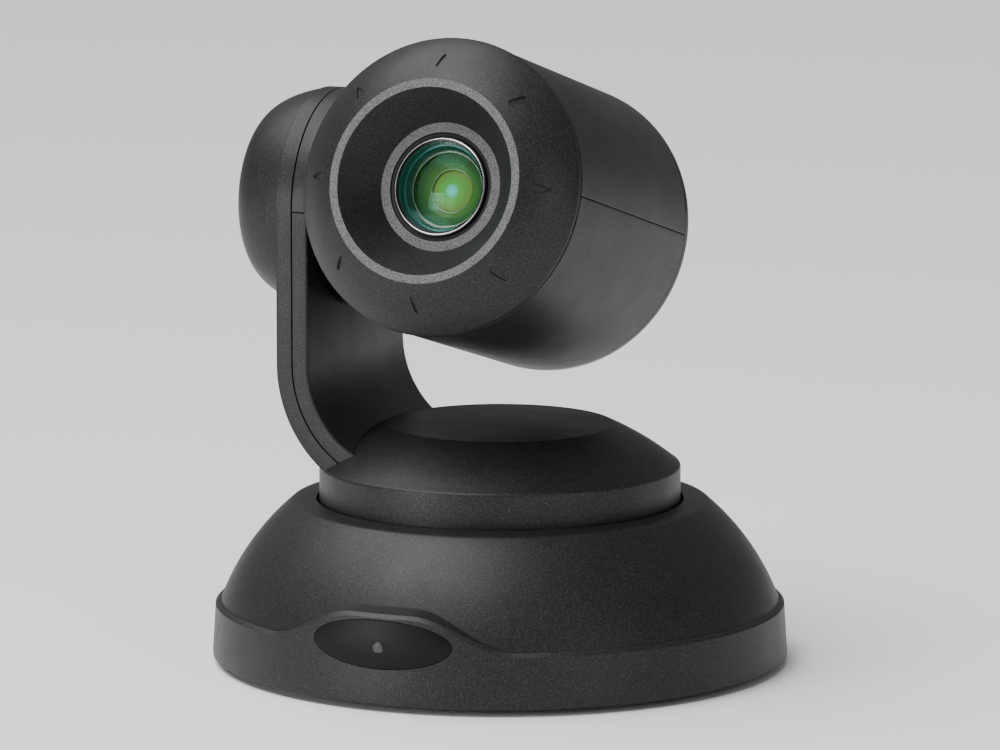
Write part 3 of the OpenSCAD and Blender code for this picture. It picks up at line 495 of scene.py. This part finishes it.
# ---------------------------------------------------------------- Rear panel and sockets
# A moulded tray closes the notch at the back. The sockets behind it are soldered to the
# main board: power, network, video, data and serial, from -X to +X.

black_moulding = grained("black_moulding", (0.012, 0.012, 0.013), (0.02, 0.02, 0.021), 0.5, 0.42,
                         bump=0.15)
nickel = grained("nickel_shell", (0.58, 0.57, 0.54), (0.68, 0.67, 0.64), 0.6, 0.26,
                 metallic=1.0, bump=0.06)
solder_mask = grained("solder_mask", (0.012, 0.075, 0.032), (0.02, 0.11, 0.05), 1.2, 0.33, bump=0.12)
paint(satin_paint, "rear_panel")
paint(black_moulding, "power_jack", "serial_port")
paint(nickel, "lan_port", "hdmi_port", "usb_port")
paint(solder_mask, "main_board", "ir_board", "sensor_board")


# ---------------------------------------------------------------- Pan drive
# A stepper motor hangs from the recess floor. Its brass pinion turns an acetal gear on the
# hollow steel shaft that carries the turntable.

motor_can = grained("motor_can", (0.36, 0.36, 0.37), (0.5, 0.5, 0.5), 0.8, 0.36,
                    metallic=1.0, bump=0.1)
acetal = grained("acetal", (0.66, 0.63, 0.55), (0.74, 0.71, 0.63), 1.0, 0.44, bump=0.05)
cast_metal = grained("die_cast", (0.42, 0.43, 0.44), (0.56, 0.56, 0.57), 0.7, 0.46,
                     metallic=1.0, bump=0.35)
paint(motor_can, "pan_motor", "tilt_motor")
paint(acetal, "thrust_washer", "pan_gear", "tilt_gear")
paint(zinc, "pan_bearing", "pan_motor_bracket", "pan_shaft", "shaft_clip", "arm_bracket",
      "bracket_screws", "tilt_bearing", "tilt_motor_plate", "tilt_shaft", "camera_frame")
paint(brass, "pan_pinion", "tilt_pinion")
paint(cast_metal, "turntable_plate")


# ---------------------------------------------------------------- Turntable
# The turning cover: a straight side, a softly rounded edge, a sloping top and a level face
# in the middle with a crisp edge. The arm's covers come up through a slot on its -X side.

tilt_z = joints["tilt"]["pos_m"][2] / MM
disc_edge_z = ledge_z + 10.6
disc_top_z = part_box("turntable_cover")[1][2] / MM
disc_low_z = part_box("turntable_cover")[0][2] / MM
flat_r = 35.3
arm_in = 49.5
arm_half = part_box("arm_inner_cap")[1][1] / MM
arm_t = 11
elbow_r = 30.6
elbow_x = elbow_r - arm_in
elbow_z = disc_top_z + elbow_r - 11


def elbow_room(name, radius, half):
    """The space outside the elbow's arc, on the arm's side of the turntable."""
    room = block(name, (-120, -half, 0), (elbow_x + 12, half, disc_top_z + 5))
    return cut(room, rod("arc", radius, -half - 1, half + 1, "Y", (elbow_x, elbow_z), 256))


slope_bulge = 0.8
slope = bowed((disc_r - 0.2, disc_edge_z), (flat_r, disc_top_z), slope_bulge, 16)
under = bowed((disc_r - wall, disc_edge_z - 1), (flat_r, disc_top_z - wall), slope_bulge, 8)
side_line = softened([(disc_r - wall, disc_low_z, 0), (disc_r, disc_low_z, 0.3),
                      (disc_r, disc_edge_z, 0.8), (*slope[1], 0)])
flat_line = softened([(*slope[-2], 0), (flat_r, disc_top_z, 0.25), (flat_r - 1.2, disc_top_z - 0.05, 0.3)])
cover = turned("turntable_top", [
    *side_line, *slope[2:-1], *flat_line[1:], (18, disc_top_z - 0.12), (0.001, disc_top_z - 0.15),
    (0.001, disc_top_z - wall), *under[::-1]], sides=288)
cut(cover, elbow_room("slot", elbow_r - 0.2, arm_half + 0.25))
smooth(cover, 24)
finish(cover, "turntable", "satin_paint", satin_paint, "turntable_cover")


# ---------------------------------------------------------------- Arm covers
# Two moulded trays meet at a seam halfway through the arm's thickness and hide the steel
# bracket. They bend inward below in one elbow and vanish into the turntable.

seam_gap = 0.4
seam_in = arm_in + 5.4
bearing_r = 11.1
edge_soft, lip_soft, inner_soft = 0.9, 0.12, 0.1


def tray_section(near, far):
    """A U-shaped section (distance from the pan axis, y): open at `near`, its face at `far`."""
    h, w = arm_half, wall
    behind = far - w if far > near else far + w
    return softened([
        (near, -h, lip_soft), (far, -h, edge_soft), (far, h, edge_soft), (near, h, lip_soft),
        (near, h - w, inner_soft), (behind, h - w, 0.6), (behind, -h + w, 0.6),
        (near, -h + w, inner_soft)], 4)


def swept_tray(name, section, top, sweep):
    """Extrudes a section straight up to a height, and spins it down round the elbow."""
    free_selection()
    bpy.ops.mesh.primitive_circle_add(vertices=len(section), radius=0.01, fill_type="NGON")
    tray = bpy.context.object
    tray.name = name
    for vertex, (x, y) in zip(tray.data.vertices, section):
        vertex.co = (-x * MM, y * MM, elbow_z * MM)
    pick(tray)
    bpy.ops.object.mode_set(mode="EDIT")
    bpy.ops.mesh.select_all(action="SELECT")
    bpy.ops.mesh.duplicate()
    bpy.ops.mesh.spin(steps=44, angle=radians(sweep), center=(elbow_x * MM, 0, elbow_z * MM),
                      axis=(0, 1, 0))
    bpy.ops.mesh.select_all(action="DESELECT")
    bpy.ops.object.mode_set(mode="OBJECT")
    corners = tray.data.vertices
    for face in tray.data.polygons:
        face.select = all(abs(corners[i].co.z - elbow_z * MM) < 1e-7 for i in face.vertices)
    bpy.ops.object.mode_set(mode="EDIT")
    bpy.ops.mesh.select_mode(type="FACE")
    bpy.ops.mesh.extrude_region_move(TRANSFORM_OT_translate={"value": (0, 0, (top - elbow_z) * MM)})
    bpy.ops.mesh.select_mode(type="VERT")
    tidy_mesh()
    return tray


def tilt_rod(name, radius, start, end, sides=192):
    """A round bar on the tilt axis, between two distances from the pan axis on the arm's side."""
    return rod(name, radius, -end, -start, "X", (0, tilt_z), sides)


cap_far = seam_in - seam_gap / 2
inner = swept_tray("arm_inner_tray", tray_section(cap_far, arm_in), tilt_z - seam_gap / 2, 70)
cut(inner, tilt_rod("bearing_hole", bearing_r, arm_in - 5, seam_in + 5))
smooth(inner)
finish(inner, "turntable", "satin_paint", satin_paint, "arm_inner_cover")


def half_round(name, section):
    """Spins a section (radius, distance from the pan axis) half a turn about the tilt axis.

    The spin runs below the axis, and the piece is then mirrored to stand above it.
    """
    free_selection()
    bpy.ops.mesh.primitive_circle_add(vertices=len(section), radius=0.01, fill_type="NGON")
    piece = bpy.context.object
    piece.name = name
    for vertex, (r, x) in zip(piece.data.vertices, section):
        vertex.co = (-x * MM, r * MM, tilt_z * MM)
    bpy.ops.object.mode_set(mode="EDIT")
    bpy.ops.mesh.select_all(action="SELECT")
    bpy.ops.mesh.spin(steps=96, angle=pi, center=(0, 0, tilt_z * MM), axis=(1, 0, 0))
    tidy_mesh()
    for vertex in piece.data.vertices:
        vertex.co.z = 2 * tilt_z * MM - vertex.co.z
    pick(piece)
    bpy.ops.object.mode_set(mode="EDIT")
    tidy_mesh()
    return piece


cap = half_round("arm_inner_top", softened([
    (bearing_r, arm_in, 0), (arm_half, arm_in, edge_soft), (arm_half, cap_far, lip_soft),
    (arm_half - wall, cap_far, inner_soft), (arm_half - wall, arm_in + wall, 0.6),
    (bearing_r, arm_in + wall, 0)], 4))
for vertex in cap.data.vertices:
    vertex.co.z = max(vertex.co.z, (tilt_z + seam_gap / 2) * MM)
smooth(cap)
finish(cap, "turntable", "satin_paint", satin_paint, "arm_inner_cap")

# The outer tray carries the domed pod over the tilt drive, and its foot follows the
# turntable's side.
arm_out = arm_in + arm_t
pod_depth = 19.4
pod_r = arm_half - 0.3
seam_out = seam_in + seam_gap / 2


def pod_line(r, depth, steps=28):
    """The pod's squarish bow (radius, depth) from its rim to the middle of its face."""
    line = []
    for i in range(steps + 1):
        u = sin(radians(84) * i / steps)
        line.append((r * (1 - u ** 1.15) ** (1 / 6.9), depth * u / sin(radians(84))))
    return line


outer = swept_tray("arm_outer_tray", tray_section(seam_out, arm_out), tilt_z, 62)
cut(outer, tilt_rod("pod_room", arm_half - wall, arm_in, arm_out + 5))
bow = half_round("bow", softened([
    (arm_half, seam_out, lip_soft), (arm_half, arm_out + 0.05, 0.5),
    (arm_half - wall, arm_out + 0.05, 0), (arm_half - wall, seam_out, inner_soft)], 4))
sunk = 0.3
pod_out = [(r, arm_out - sunk + d * (pod_depth + sunk) / pod_depth)
           for r, d in pod_line(pod_r, pod_depth)]
pod_inside = [(r, arm_out - sunk + d) for r, d in pod_line(pod_r - wall, pod_depth - wall)]
pod = turned("pod", [*pod_out, (0.001, pod_out[-1][1]), (0.001, pod_inside[-1][1]),
                     *pod_inside[::-1]], sides=256)
placed(pod, (0, 0, tilt_z), (0, -90, 0))
strip_top = elbow_z - 12
foot = turned("foot_strip", softened([
    (disc_r - wall, disc_low_z, 0), (disc_r, disc_low_z, 0.3), (disc_r, strip_top, 0),
    (disc_r - wall, strip_top, 0)]), sides=288)
strip_room = block("strip_room", (-90, -arm_half, 0), (elbow_x - 8, arm_half, 130))
cut(foot, strip_room, how="INTERSECT")
inside_elbow = rod("inside_elbow", elbow_r + seam_out - arm_in, -60, 60, "Y", (elbow_x, elbow_z), 256)
cut(foot, inside_elbow)
cut(outer, rod("disc_room", disc_r - wall, 30, disc_edge_z, "Z", (0, 0), 256))
cut(outer, foot, bow, pod, how="UNION")
smooth(outer, 26)
finish(outer, "turntable", "satin_paint", satin_paint, "arm_outer_cover")


# ---------------------------------------------------------------- Tilt hub
# A boss on the head's side turns in front of the arm's inner face. It is moulded in
# gloss-black plastic, and its back is hollowed to sit on the drum.

head_r = 45.6
hub_r, shaft_r = 33, 6.6
hub_near, hub_far = head_r - 15, arm_in - 0.3
piano_black = grained("gloss_black", (0.006, 0.006, 0.007), (0.009, 0.009, 0.010), 2.0, 0.20,
                      bump=0.01, uneven=0.03, Specular_IOR_Level=0.2)
hub = turned("tilt_boss", softened([
    (shaft_r, hub_near, 0), (hub_r, hub_near, 0), (hub_r, hub_far, 0.8), (shaft_r, hub_far, 0)]), sides=192)
placed(hub, (0, 0, tilt_z), (0, -90, 0))


# ---------------------------------------------------------------- Head shells
# Two half-drums meet on a level seam through the tilt axis. Each is moulded and painted.
# A narrow groove parts them from the front cone.

forward = joints["zoom"]["axis"]
rest_tilt = degrees(atan2(forward[2], -forward[1]))
head_front, head_back = 45.1, 44.2
shell_front = head_front - 2.0
rear_rim = 3.4
shell_back = -head_back + rear_rim
shell_gap = 0.32
lens_axis = (0, -cos(radians(rest_tilt)), sin(radians(rest_tilt)))


def on_head(piece):
    """Turns a piece made about Z to the lens axis and lifts it to the tilt axis."""
    return placed(piece, (0, 0, tilt_z), (90 - rest_tilt, 0, 0))


drum = rod("drum", head_r + 0.02, -60, 60, "Z", (0, 0), 256)
on_head(drum)
cut(hub, drum)
smooth(hub)
finish(hub, "head", "gloss_black", piano_black, "tilt_hub")


def half_shell(name, side):
    """One half of the drum: side is 1 for the upper half and -1 for the lower."""
    shell = turned(name, softened([
        (head_r, shell_back, 0.15), (head_r, shell_front, 0.35), (head_r - wall, shell_front, 0.2),
        (head_r - wall, shell_back, 0.2)]), sides=256)
    pick(shell)
    bpy.ops.object.mode_set(mode="EDIT")
    bpy.ops.mesh.select_all(action="SELECT")
    bpy.ops.mesh.bisect(plane_co=(0, side * shell_gap / 2 * MM, 0), plane_no=(0, side, 0),
                        clear_inner=True, use_fill=True)
    tidy_mesh()
    cut(shell, rod("shaft_hole", shaft_r + 0.2, -60, 0, "X", (0, 0), 64))
    with_modifier(shell, "BEVEL", width=0.28 * MM, segments=2, limit_method="ANGLE",
                  angle_limit=radians(60))
    on_head(shell)
    smooth(shell, 30)
    return shell


finish(half_shell("head_upper_drum", 1), "head", "satin_paint", satin_paint, "head_upper_shell")
finish(half_shell("head_lower_drum", -1), "head", "satin_paint", satin_paint, "head_lower_shell")


# ---------------------------------------------------------------- Front cone
# The wide front cone is one moulding. Eight teardrop marks are pressed into it, and its
# crest is a narrow level ring with a coarser, lighter coat.

rim_r = head_r + 0.4
crest_r, crest_s, crest_w = 31.3, 58.0, 2.6
crest_in = crest_r - crest_w
spigot_r = 43.2
coarse_grey = grained("coarse_grey", (0.042, 0.042, 0.044), (0.19, 0.19, 0.195), 0.34, 0.62,
                      bump=0.6, spread=(0.40, 0.66))
cone_foot = (rim_r - 0.25, head_front + 0.75)
cone_line = bowed(cone_foot, (crest_r, crest_s), 1.2, 14)
rim_line = softened([
    (spigot_r, 38.0, 0), (spigot_r, 43.4, 0.1), (rim_r - 0.9, 43.9, 0.3), (rim_r, head_front - 0.4, 0.5),
    (*cone_line[0], 0.4), (*cone_line[1], 0)])
crest_line = softened([(*cone_line[-2], 0), (crest_r, crest_s, 0.25), (crest_in, crest_s, 0.2),
                       (crest_in - 2, crest_s - 4, 0)])
cone = turned("front_cone", [*rim_line[:-1], *cone_line[1:-1], *crest_line[1:]], sides=288)


def teardrop(name, angle):
    """A cutter for one mark: round at its inner end, drawn to a point outward."""
    mark_r, mark_length = 1.2, 4.6
    free_selection()
    bpy.ops.mesh.primitive_circle_add(vertices=40, radius=mark_r * MM, fill_type="NGON")
    mark = bpy.context.object
    mark.name = name
    for vertex in mark.data.vertices:
        along = vertex.co.x / MM / mark_r
        if along > 0:
            width = 1 - along ** 0.8 * 0.5
            vertex.co.x = along * mark_length * MM
            vertex.co.y *= width
    bpy.ops.object.mode_set(mode="EDIT")
    bpy.ops.mesh.select_all(action="SELECT")
    bpy.ops.mesh.extrude_region_move(TRANSFORM_OT_translate={"value": (0, 0, 1.5 * MM)})
    bpy.ops.transform.resize(value=(1.25, 1.7, 1), center_override=(0.9 * MM, 0, 0))
    tidy_mesh()
    rise = crest_s - cone_foot[1]
    lean = degrees(atan2(rise, cone_foot[0] - crest_r))
    placed(mark, turn=(0, lean - 2, 0))
    middle_r = 35.6
    t = (rim_r - middle_r) / (rim_r - crest_r)
    placed(mark, (middle_r, 0, cone_foot[1] + rise * t + 0.62))
    return placed(mark, turn=(0, 0, angle))


marks = joined("marks", [teardrop("mark", 45 * k) for k in range(8)])
cut(cone, marks)
on_head(cone)
smooth(cone, 24)
finish(cone, "head", "satin_paint", satin_paint, "head_bezel")


# ---------------------------------------------------------------- Recess
# A dished cone leads from the crest in to the lens and ends in a second coarse ring. It is a
# moulding of its own in the same satin paint, and the crest hides its outer edge.

annulus_r, recess_s = 19.8, head_front + 0.5
gasket_r = 16.7
recess = turned("lens_recess", softened([
    (gasket_r, recess_s - 2, 0), (gasket_r, recess_s, 0.15), (annulus_r, recess_s, 0.2),
    (crest_in - 0.03, crest_s - 0.05, 0.05), (crest_in - 2, crest_s - 4, 0),
    (annulus_r + 1.6, recess_s - 2, 0)]), sides=256)


def coat_rings(piece):
    """The level faces of the front get the coarse coat as a second finish."""
    piece.data.materials.append(coarse_grey)
    for face in piece.data.polygons:
        if face.normal.dot(lens_axis) < 0.95:
            continue
        across = [face.center[0], face.center[1], face.center[2] - tilt_z * MM]
        along = sum(a * b for a, b in zip(across, lens_axis))
        radius = sqrt(sum((a - along * b) ** 2 for a, b in zip(across, lens_axis))) / MM
        if radius < annulus_r + 0.2 or crest_in - 0.3 < radius < crest_r + 0.2:
            face.material_index = 1


on_head(recess)
smooth(recess, 24)
finish(recess, "head", "satin_paint", satin_paint, "bezel_recess")
coat_rings(recess)
coat_rings(cone)


# ---------------------------------------------------------------- Rear cover
# A gloss-black moulded disc closes the drum and is held by four screws. Level slots in it
# let the electronics breathe.

disc_s, collar_s = -head_back + 1.4, shell_back + 2
collar_r, disc_rim_r = head_r - 2.45, head_r - 0.05
rear = turned("rear_disc", softened([
    (0.001, -head_back, 0), (0.001, disc_s, 0), (head_r - 4.4, disc_s, 0), (head_r - 4.4, collar_s, 0.3),
    (collar_r, collar_s, 0.3), (collar_r, shell_back, 0), (disc_rim_r, shell_back, 0.15),
    (disc_rim_r, -head_back, 0.9)]), sides=256)
vent_r, slot_pitch, slot_half = 24, 4.2, 0.8
slots = []
for k in range(-4, 5):
    y = slot_pitch * k
    reach = sqrt(vent_r ** 2 - y ** 2)
    slots.append(block("slot", (-reach, y - slot_half, -60), (reach, y + slot_half, -30)))
cut(rear, joined("slots", slots))
on_head(rear)
smooth(rear)
finish(rear, "head", "gloss_black", piano_black, "head_rear_cover")
paint(zinc, "rear_screws")


# ---------------------------------------------------------------- Lens seat
# A black rubber ring seals the front element in the recess. The clamping ring is black too,
# with one bright turned line on its lip.

lens_ring_r, lens_r = 15.4, 11.5
ring_lip = 1.52
glass_r = lens_ring_r - ring_lip
touch = 0.02
gasket = turned("lens_seal", softened([
    (gasket_r - touch, recess_s - 2.2, 0), (gasket_r - touch, recess_s - 0.5, 0.3),
    (lens_ring_r + touch, recess_s - 0.5, 0.3), (lens_ring_r + touch, recess_s - 2.2, 0)]), sides=192)
on_head(gasket)
smooth(gasket)
finish(gasket, "head", "rubber", rubber, "lens_gasket")

ring = turned("clamp_ring", softened([
    (lens_ring_r, recess_s - 3, 0), (lens_ring_r, recess_s + 0.5, 0.3),
    (lens_ring_r - 0.35, recess_s + 0.6, 0.1), (lens_ring_r - 0.5, recess_s + 0.3, 0.05),
    (glass_r + touch, recess_s + 0.1, 0.1), (glass_r + touch, recess_s - 3, 0)]), sides=192)
on_head(ring)
smooth(ring, 40)
finish(ring, "head", "chrome_trim", piano_black, "lens_ring")

bright = grained("bright_line", (0.70, 0.72, 0.73), (0.80, 0.82, 0.83), 0.8, 0.22,
                 metallic=1.0, bump=0.02, uneven=0.05)
line_out, line_in = lens_ring_r - 0.38, lens_ring_r - 0.85
line = turned("clamp_ring_line", softened([
    (line_out, recess_s + 0.3, 0), (line_out, recess_s + 0.75, 0.2), (line_in, recess_s + 0.95, 0.2),
    (line_in, recess_s + 0.2, 0)]), sides=192)
on_head(line)
smooth(line, 40)
finish(line, "head", "chrome_trim", bright, "lens_ring")


# ---------------------------------------------------------------- Inside of the lens
# Behind the front element an anodised cone and a stepped cell lead down to the second
# element. Each edge is turned bright, and the cell is ribbed against stray light. Their green,
# lighter near the axis, is a painted reflection of the lens coating, with a painted glow.

def painted_reflection_rings(name, stops, reach, at, roughness, painted_glow=0.0, **shader):
    """Colour rings round the lens axis, from the distance to a point on it (all in mm), painted as a
    reflection of the lens coating, with a painted glow from emission.
    """
    material = grained(name, (0, 0, 0), (0, 0, 0), 1.0, roughness, bump=0.0, uneven=0.01, **shader)
    nodes, links = material.node_tree.nodes, material.node_tree.links
    surface = nodes["Principled BSDF"]
    place = nodes.new("ShaderNodeTexCoord")
    measure = nodes.new("ShaderNodeVectorMath")
    measure.operation = "DISTANCE"
    links.new(place.outputs["Object"], measure.inputs[0])
    point = [c * at * MM for c in lens_axis]
    measure.inputs[1].default_value = (point[0], point[1], point[2] + tilt_z * MM)
    share = nodes.new("ShaderNodeMath")
    share.operation = "DIVIDE"
    links.new(measure.outputs["Value"], share.inputs[0])
    share.inputs[1].default_value = reach * MM
    ramp = nodes.new("ShaderNodeValToRGB")
    while len(ramp.color_ramp.elements) < len(stops):
        ramp.color_ramp.elements.new(0.5)
    for element, (position, colour) in zip(ramp.color_ramp.elements, stops):
        element.position, element.color = position, (*colour, 1)
    links.new(share.outputs["Value"], ramp.inputs["Fac"])
    links.new(ramp.outputs["Color"], surface.inputs["Base Color"])
    if painted_glow:
        links.new(ramp.outputs["Color"], surface.inputs["Emission Color"])
        surface.inputs["Emission Strength"].default_value = painted_glow
    return material


barrel_front = head_front - 6
# Painted reflection of the lens coating: green rings, lighter near the axis, with a painted glow.
green_painted_reflection = painted_reflection_rings("green_painted_reflection", [
    (0.0, (0.02, 0.10, 0.03)), (0.55, (0.008, 0.055, 0.022)), (0.8, (0.004, 0.030, 0.016)),
    (1.0, (0.004, 0.050, 0.036))], 14.5, barrel_front + 2, 0.25, painted_glow=0.25)
# The clamp ring's inward faces take the same painted reflection and glow.
ring.data.materials.append(green_painted_reflection)
for face in ring.data.polygons:
    across = (face.center[0], face.center[1], face.center[2] - tilt_z * MM)
    if sum(a * b for a, b in zip(across, face.normal)) < -2 * MM:
        face.material_index = 1
retainer_r = lens_r + 4.1
retainer = turned("lens_retainer_cone", softened([
    (lens_r, barrel_front, 0), (retainer_r, barrel_front, 0), (retainer_r, recess_s - 3, 0.2),
    (glass_r - 0.6, recess_s - 3, 0.1), (lens_r + 0.9, barrel_front + 2.2, 0.2),
    (lens_r + 0.7, barrel_front + 1.3, 0.2), (lens_r, barrel_front + 1, 0.1)]), sides=192)
on_head(retainer)
smooth(retainer, 24)
finish(retainer, "head", "gloss_black", green_painted_reflection, "lens_retainer")


def edge_line(name, r, s, width, material):
    """A thin bright edge round the lens axis, as turned metal shows it."""
    near, far = r - width / 2, r + width / 2
    edge = turned(name, softened([
        (near, s - 0.2, 0), (far, s - 0.2, 0), (far, s, 0.08), (near, s, 0.08)]), sides=160)
    on_head(edge)
    smooth(edge, 40)
    return finish(edge, "head", "gloss_black", material, "lens_retainer")


teal_edge = grained("teal_edge", (0.06, 0.30, 0.30), (0.10, 0.40, 0.40), 1.0, 0.25,
                    metallic=0.6, bump=0.0, uneven=0.02)
pale_edge = grained("pale_edge", (0.40, 0.52, 0.36), (0.50, 0.62, 0.46), 1.0, 0.3,
                    metallic=0.8, bump=0.0, uneven=0.02)
edge_line("front_edge", glass_r - 0.75, recess_s - 2.95, 0.22, teal_edge)
edge_line("second_edge", lens_r + 0.05, barrel_front + 1.15, 0.15, pale_edge)

barrel_r, barrel_bore_r, barrel_back = 15.68, 12.5, -24
cell_line = [(10.5, 0.6), (10.0, 1.0), (9.8, 1.0), (9.3, 1.4), (9.1, 1.4), (8.6, 1.8), (8.4, 1.8),
             (7.2, 2.4), (6.9, 2.3), (6.5, 2.6), (6.5, 4)]
barrel = turned("lens_tube", [
    (barrel_r, barrel_back), (barrel_r, barrel_front), (barrel_bore_r, barrel_front),
    (barrel_bore_r, barrel_front - 0.6), *[(r, barrel_front - depth) for r, depth in cell_line],
    (barrel_bore_r, barrel_front - 4), (barrel_bore_r, barrel_back)], sides=192)
# The cell's green is a painted reflection, lighter near the axis and darker outward, with a painted glow.
cell_painted_reflection = painted_reflection_rings("cell_painted_reflection", [
    (0.0, (0.10, 0.22, 0.04)), (0.5, (0.06, 0.17, 0.03)), (0.75, (0.02, 0.09, 0.02)),
    (1.0, (0.006, 0.035, 0.012))], 12.5, barrel_front - 2.5, 0.35, painted_glow=0.20, Specular_IOR_Level=0.2)
on_head(barrel)
smooth(barrel, 20)
finish(barrel, "head", "gloss_black", cell_painted_reflection, "lens_barrel")

inner_line = [(0.001, 2.2), (2, 2.26), (4, 2.5), (5.6, 2.9), (6.48, 3.2), (6.48, 3.9), (0.001, 3.9)]
inner_glass = turned("second_element", [(r, barrel_front - depth) for r, depth in inner_line], sides=128)
# The second element's teal middle and green rings are a painted reflection of its coating, with a painted
# glow.
element_painted_reflection = painted_reflection_rings("second_element_painted_reflection", [
    (0.0, (0.10, 0.55, 0.50)), (0.24, (0.08, 0.42, 0.30)), (0.34, (0.07, 0.33, 0.06)),
    (0.66, (0.09, 0.27, 0.05)), (0.86, (0.13, 0.22, 0.05)), (1.0, (0.03, 0.12, 0.04))],
    6.9, barrel_front - 2.4, 0.25, painted_glow=0.30, Specular_IOR_Level=0.1)
on_head(inner_glass)
smooth(inner_glass, 50)
finish(inner_glass, "head", "lens_glass", element_painted_reflection, "front_lens")
edge_line("third_edge", 6.75, barrel_front - 2.1, 0.13, pale_edge)


# ---------------------------------------------------------------- Front element
# A bulging meniscus of optical glass, ground, polished and coated, with a greenish cast. The
# clamping ring holds it down on its seat.

ball, glass_t, glass_edge = 2.2 * glass_r, 2, 0.6
seat = recess_s - 2.8
lift = sqrt(ball ** 2 - glass_r ** 2)
radii = [glass_r * sin(radians(90) * k / 14) if k else 0.001 for k in range(15)]
front_line = [(r, seat + glass_edge - lift + sqrt(ball ** 2 - r ** 2)) for r in radii]
hollow_line = [(r, seat + glass_edge - lift + sqrt((ball - glass_t) ** 2 - r ** 2)) for r in radii]
hollow_line = [(r, s) for r, s in hollow_line if s > seat]
front_glass = turned("front_element", front_line + [(glass_r, seat)] + hollow_line[::-1], sides=192)
on_head(front_glass)
smooth(front_glass, 30)
coating = grained("coated_glass", (0.20, 0.62, 0.50), (0.26, 0.66, 0.56), 6.0, 0.03,
                  metallic=1.0, bump=0.0, uneven=0.01)
coating.node_tree.nodes["Principled BSDF"].inputs["Alpha"].default_value = 0.01
finish(front_glass, "head", "lens_glass", coating, "front_lens")
paint(piano_black, "zoom_group", "focus_group")


# ---------------------------------------------------------------- Studio
# A pale seamless floor, three soft lights and a wide overhead one. The camera stands well
# back with a long lens.

free_selection()
bpy.ops.mesh.primitive_plane_add(size=12)
floor = bpy.context.object
floor.name = "studio_floor"
floor_paint = bpy.data.materials.new("studio_white")
floor_paint.use_nodes = True
floor_surface = floor_paint.node_tree.nodes["Principled BSDF"]
floor_surface.inputs["Base Color"].default_value = (0.93, 0.93, 0.93, 1)
floor_surface.inputs["Roughness"].default_value = 0.9
floor.data.materials.append(floor_paint)


def soft_light(name, azimuth, elevation, distance, width, height, power, aim=(0, 0, 0.10)):
    """A rectangular soft light, by its direction from the object: 0 is in front, 90 on +X."""
    a, e = radians(azimuth), radians(elevation)
    away = (sin(a) * cos(e), -cos(a) * cos(e), sin(e))
    place = [c * distance + t for c, t in zip(away, aim)]
    bpy.ops.object.light_add(type="AREA", location=place)
    light = bpy.context.object
    light.name = name
    light.data.shape = "RECTANGLE"
    light.data.size, light.data.size_y = width, height
    light.data.energy = power
    light.rotation_euler = (radians(90) - e, 0, a)
    return light


soft_light("front_softbox", -27, 5, 1.4, 0.4, 0.5, 8)
soft_light("high_softbox", -25, 60, 1.7, 1.2, 1.0, 20)
soft_light("right_softbox", 60, 14, 1.6, 0.5, 0.8, 3)
bpy.ops.object.light_add(type="SUN", rotation=(radians(24), 0, radians(-95)))
overhead = bpy.context.object
overhead.name = "overhead_diffuser"
overhead.data.energy = 2.5
overhead.data.angle = radians(55)

world = bpy.data.worlds.new("studio")
bpy.context.scene.world = world
world.use_nodes = True
world.node_tree.nodes["Background"].inputs["Color"].default_value = (1, 1, 1, 1)
world.node_tree.nodes["Background"].inputs["Strength"].default_value = 0.26

azimuth, elevation, distance, aim_z = radians(24.3), radians(9.29), 1.967, 0.0894
away = (sin(azimuth) * cos(elevation), -cos(azimuth) * cos(elevation), sin(elevation))
bpy.ops.object.camera_add(location=[away[0] * distance, away[1] * distance, away[2] * distance + aim_z],
                          rotation=(radians(90) - elevation, 0, azimuth))
camera = bpy.context.object
camera.name = "studio_camera"
camera.data.lens = 227.4
camera.data.sensor_width = 36
camera.data.clip_start, camera.data.clip_end = 0.05, 50
bpy.context.scene.camera = camera
free_selection()
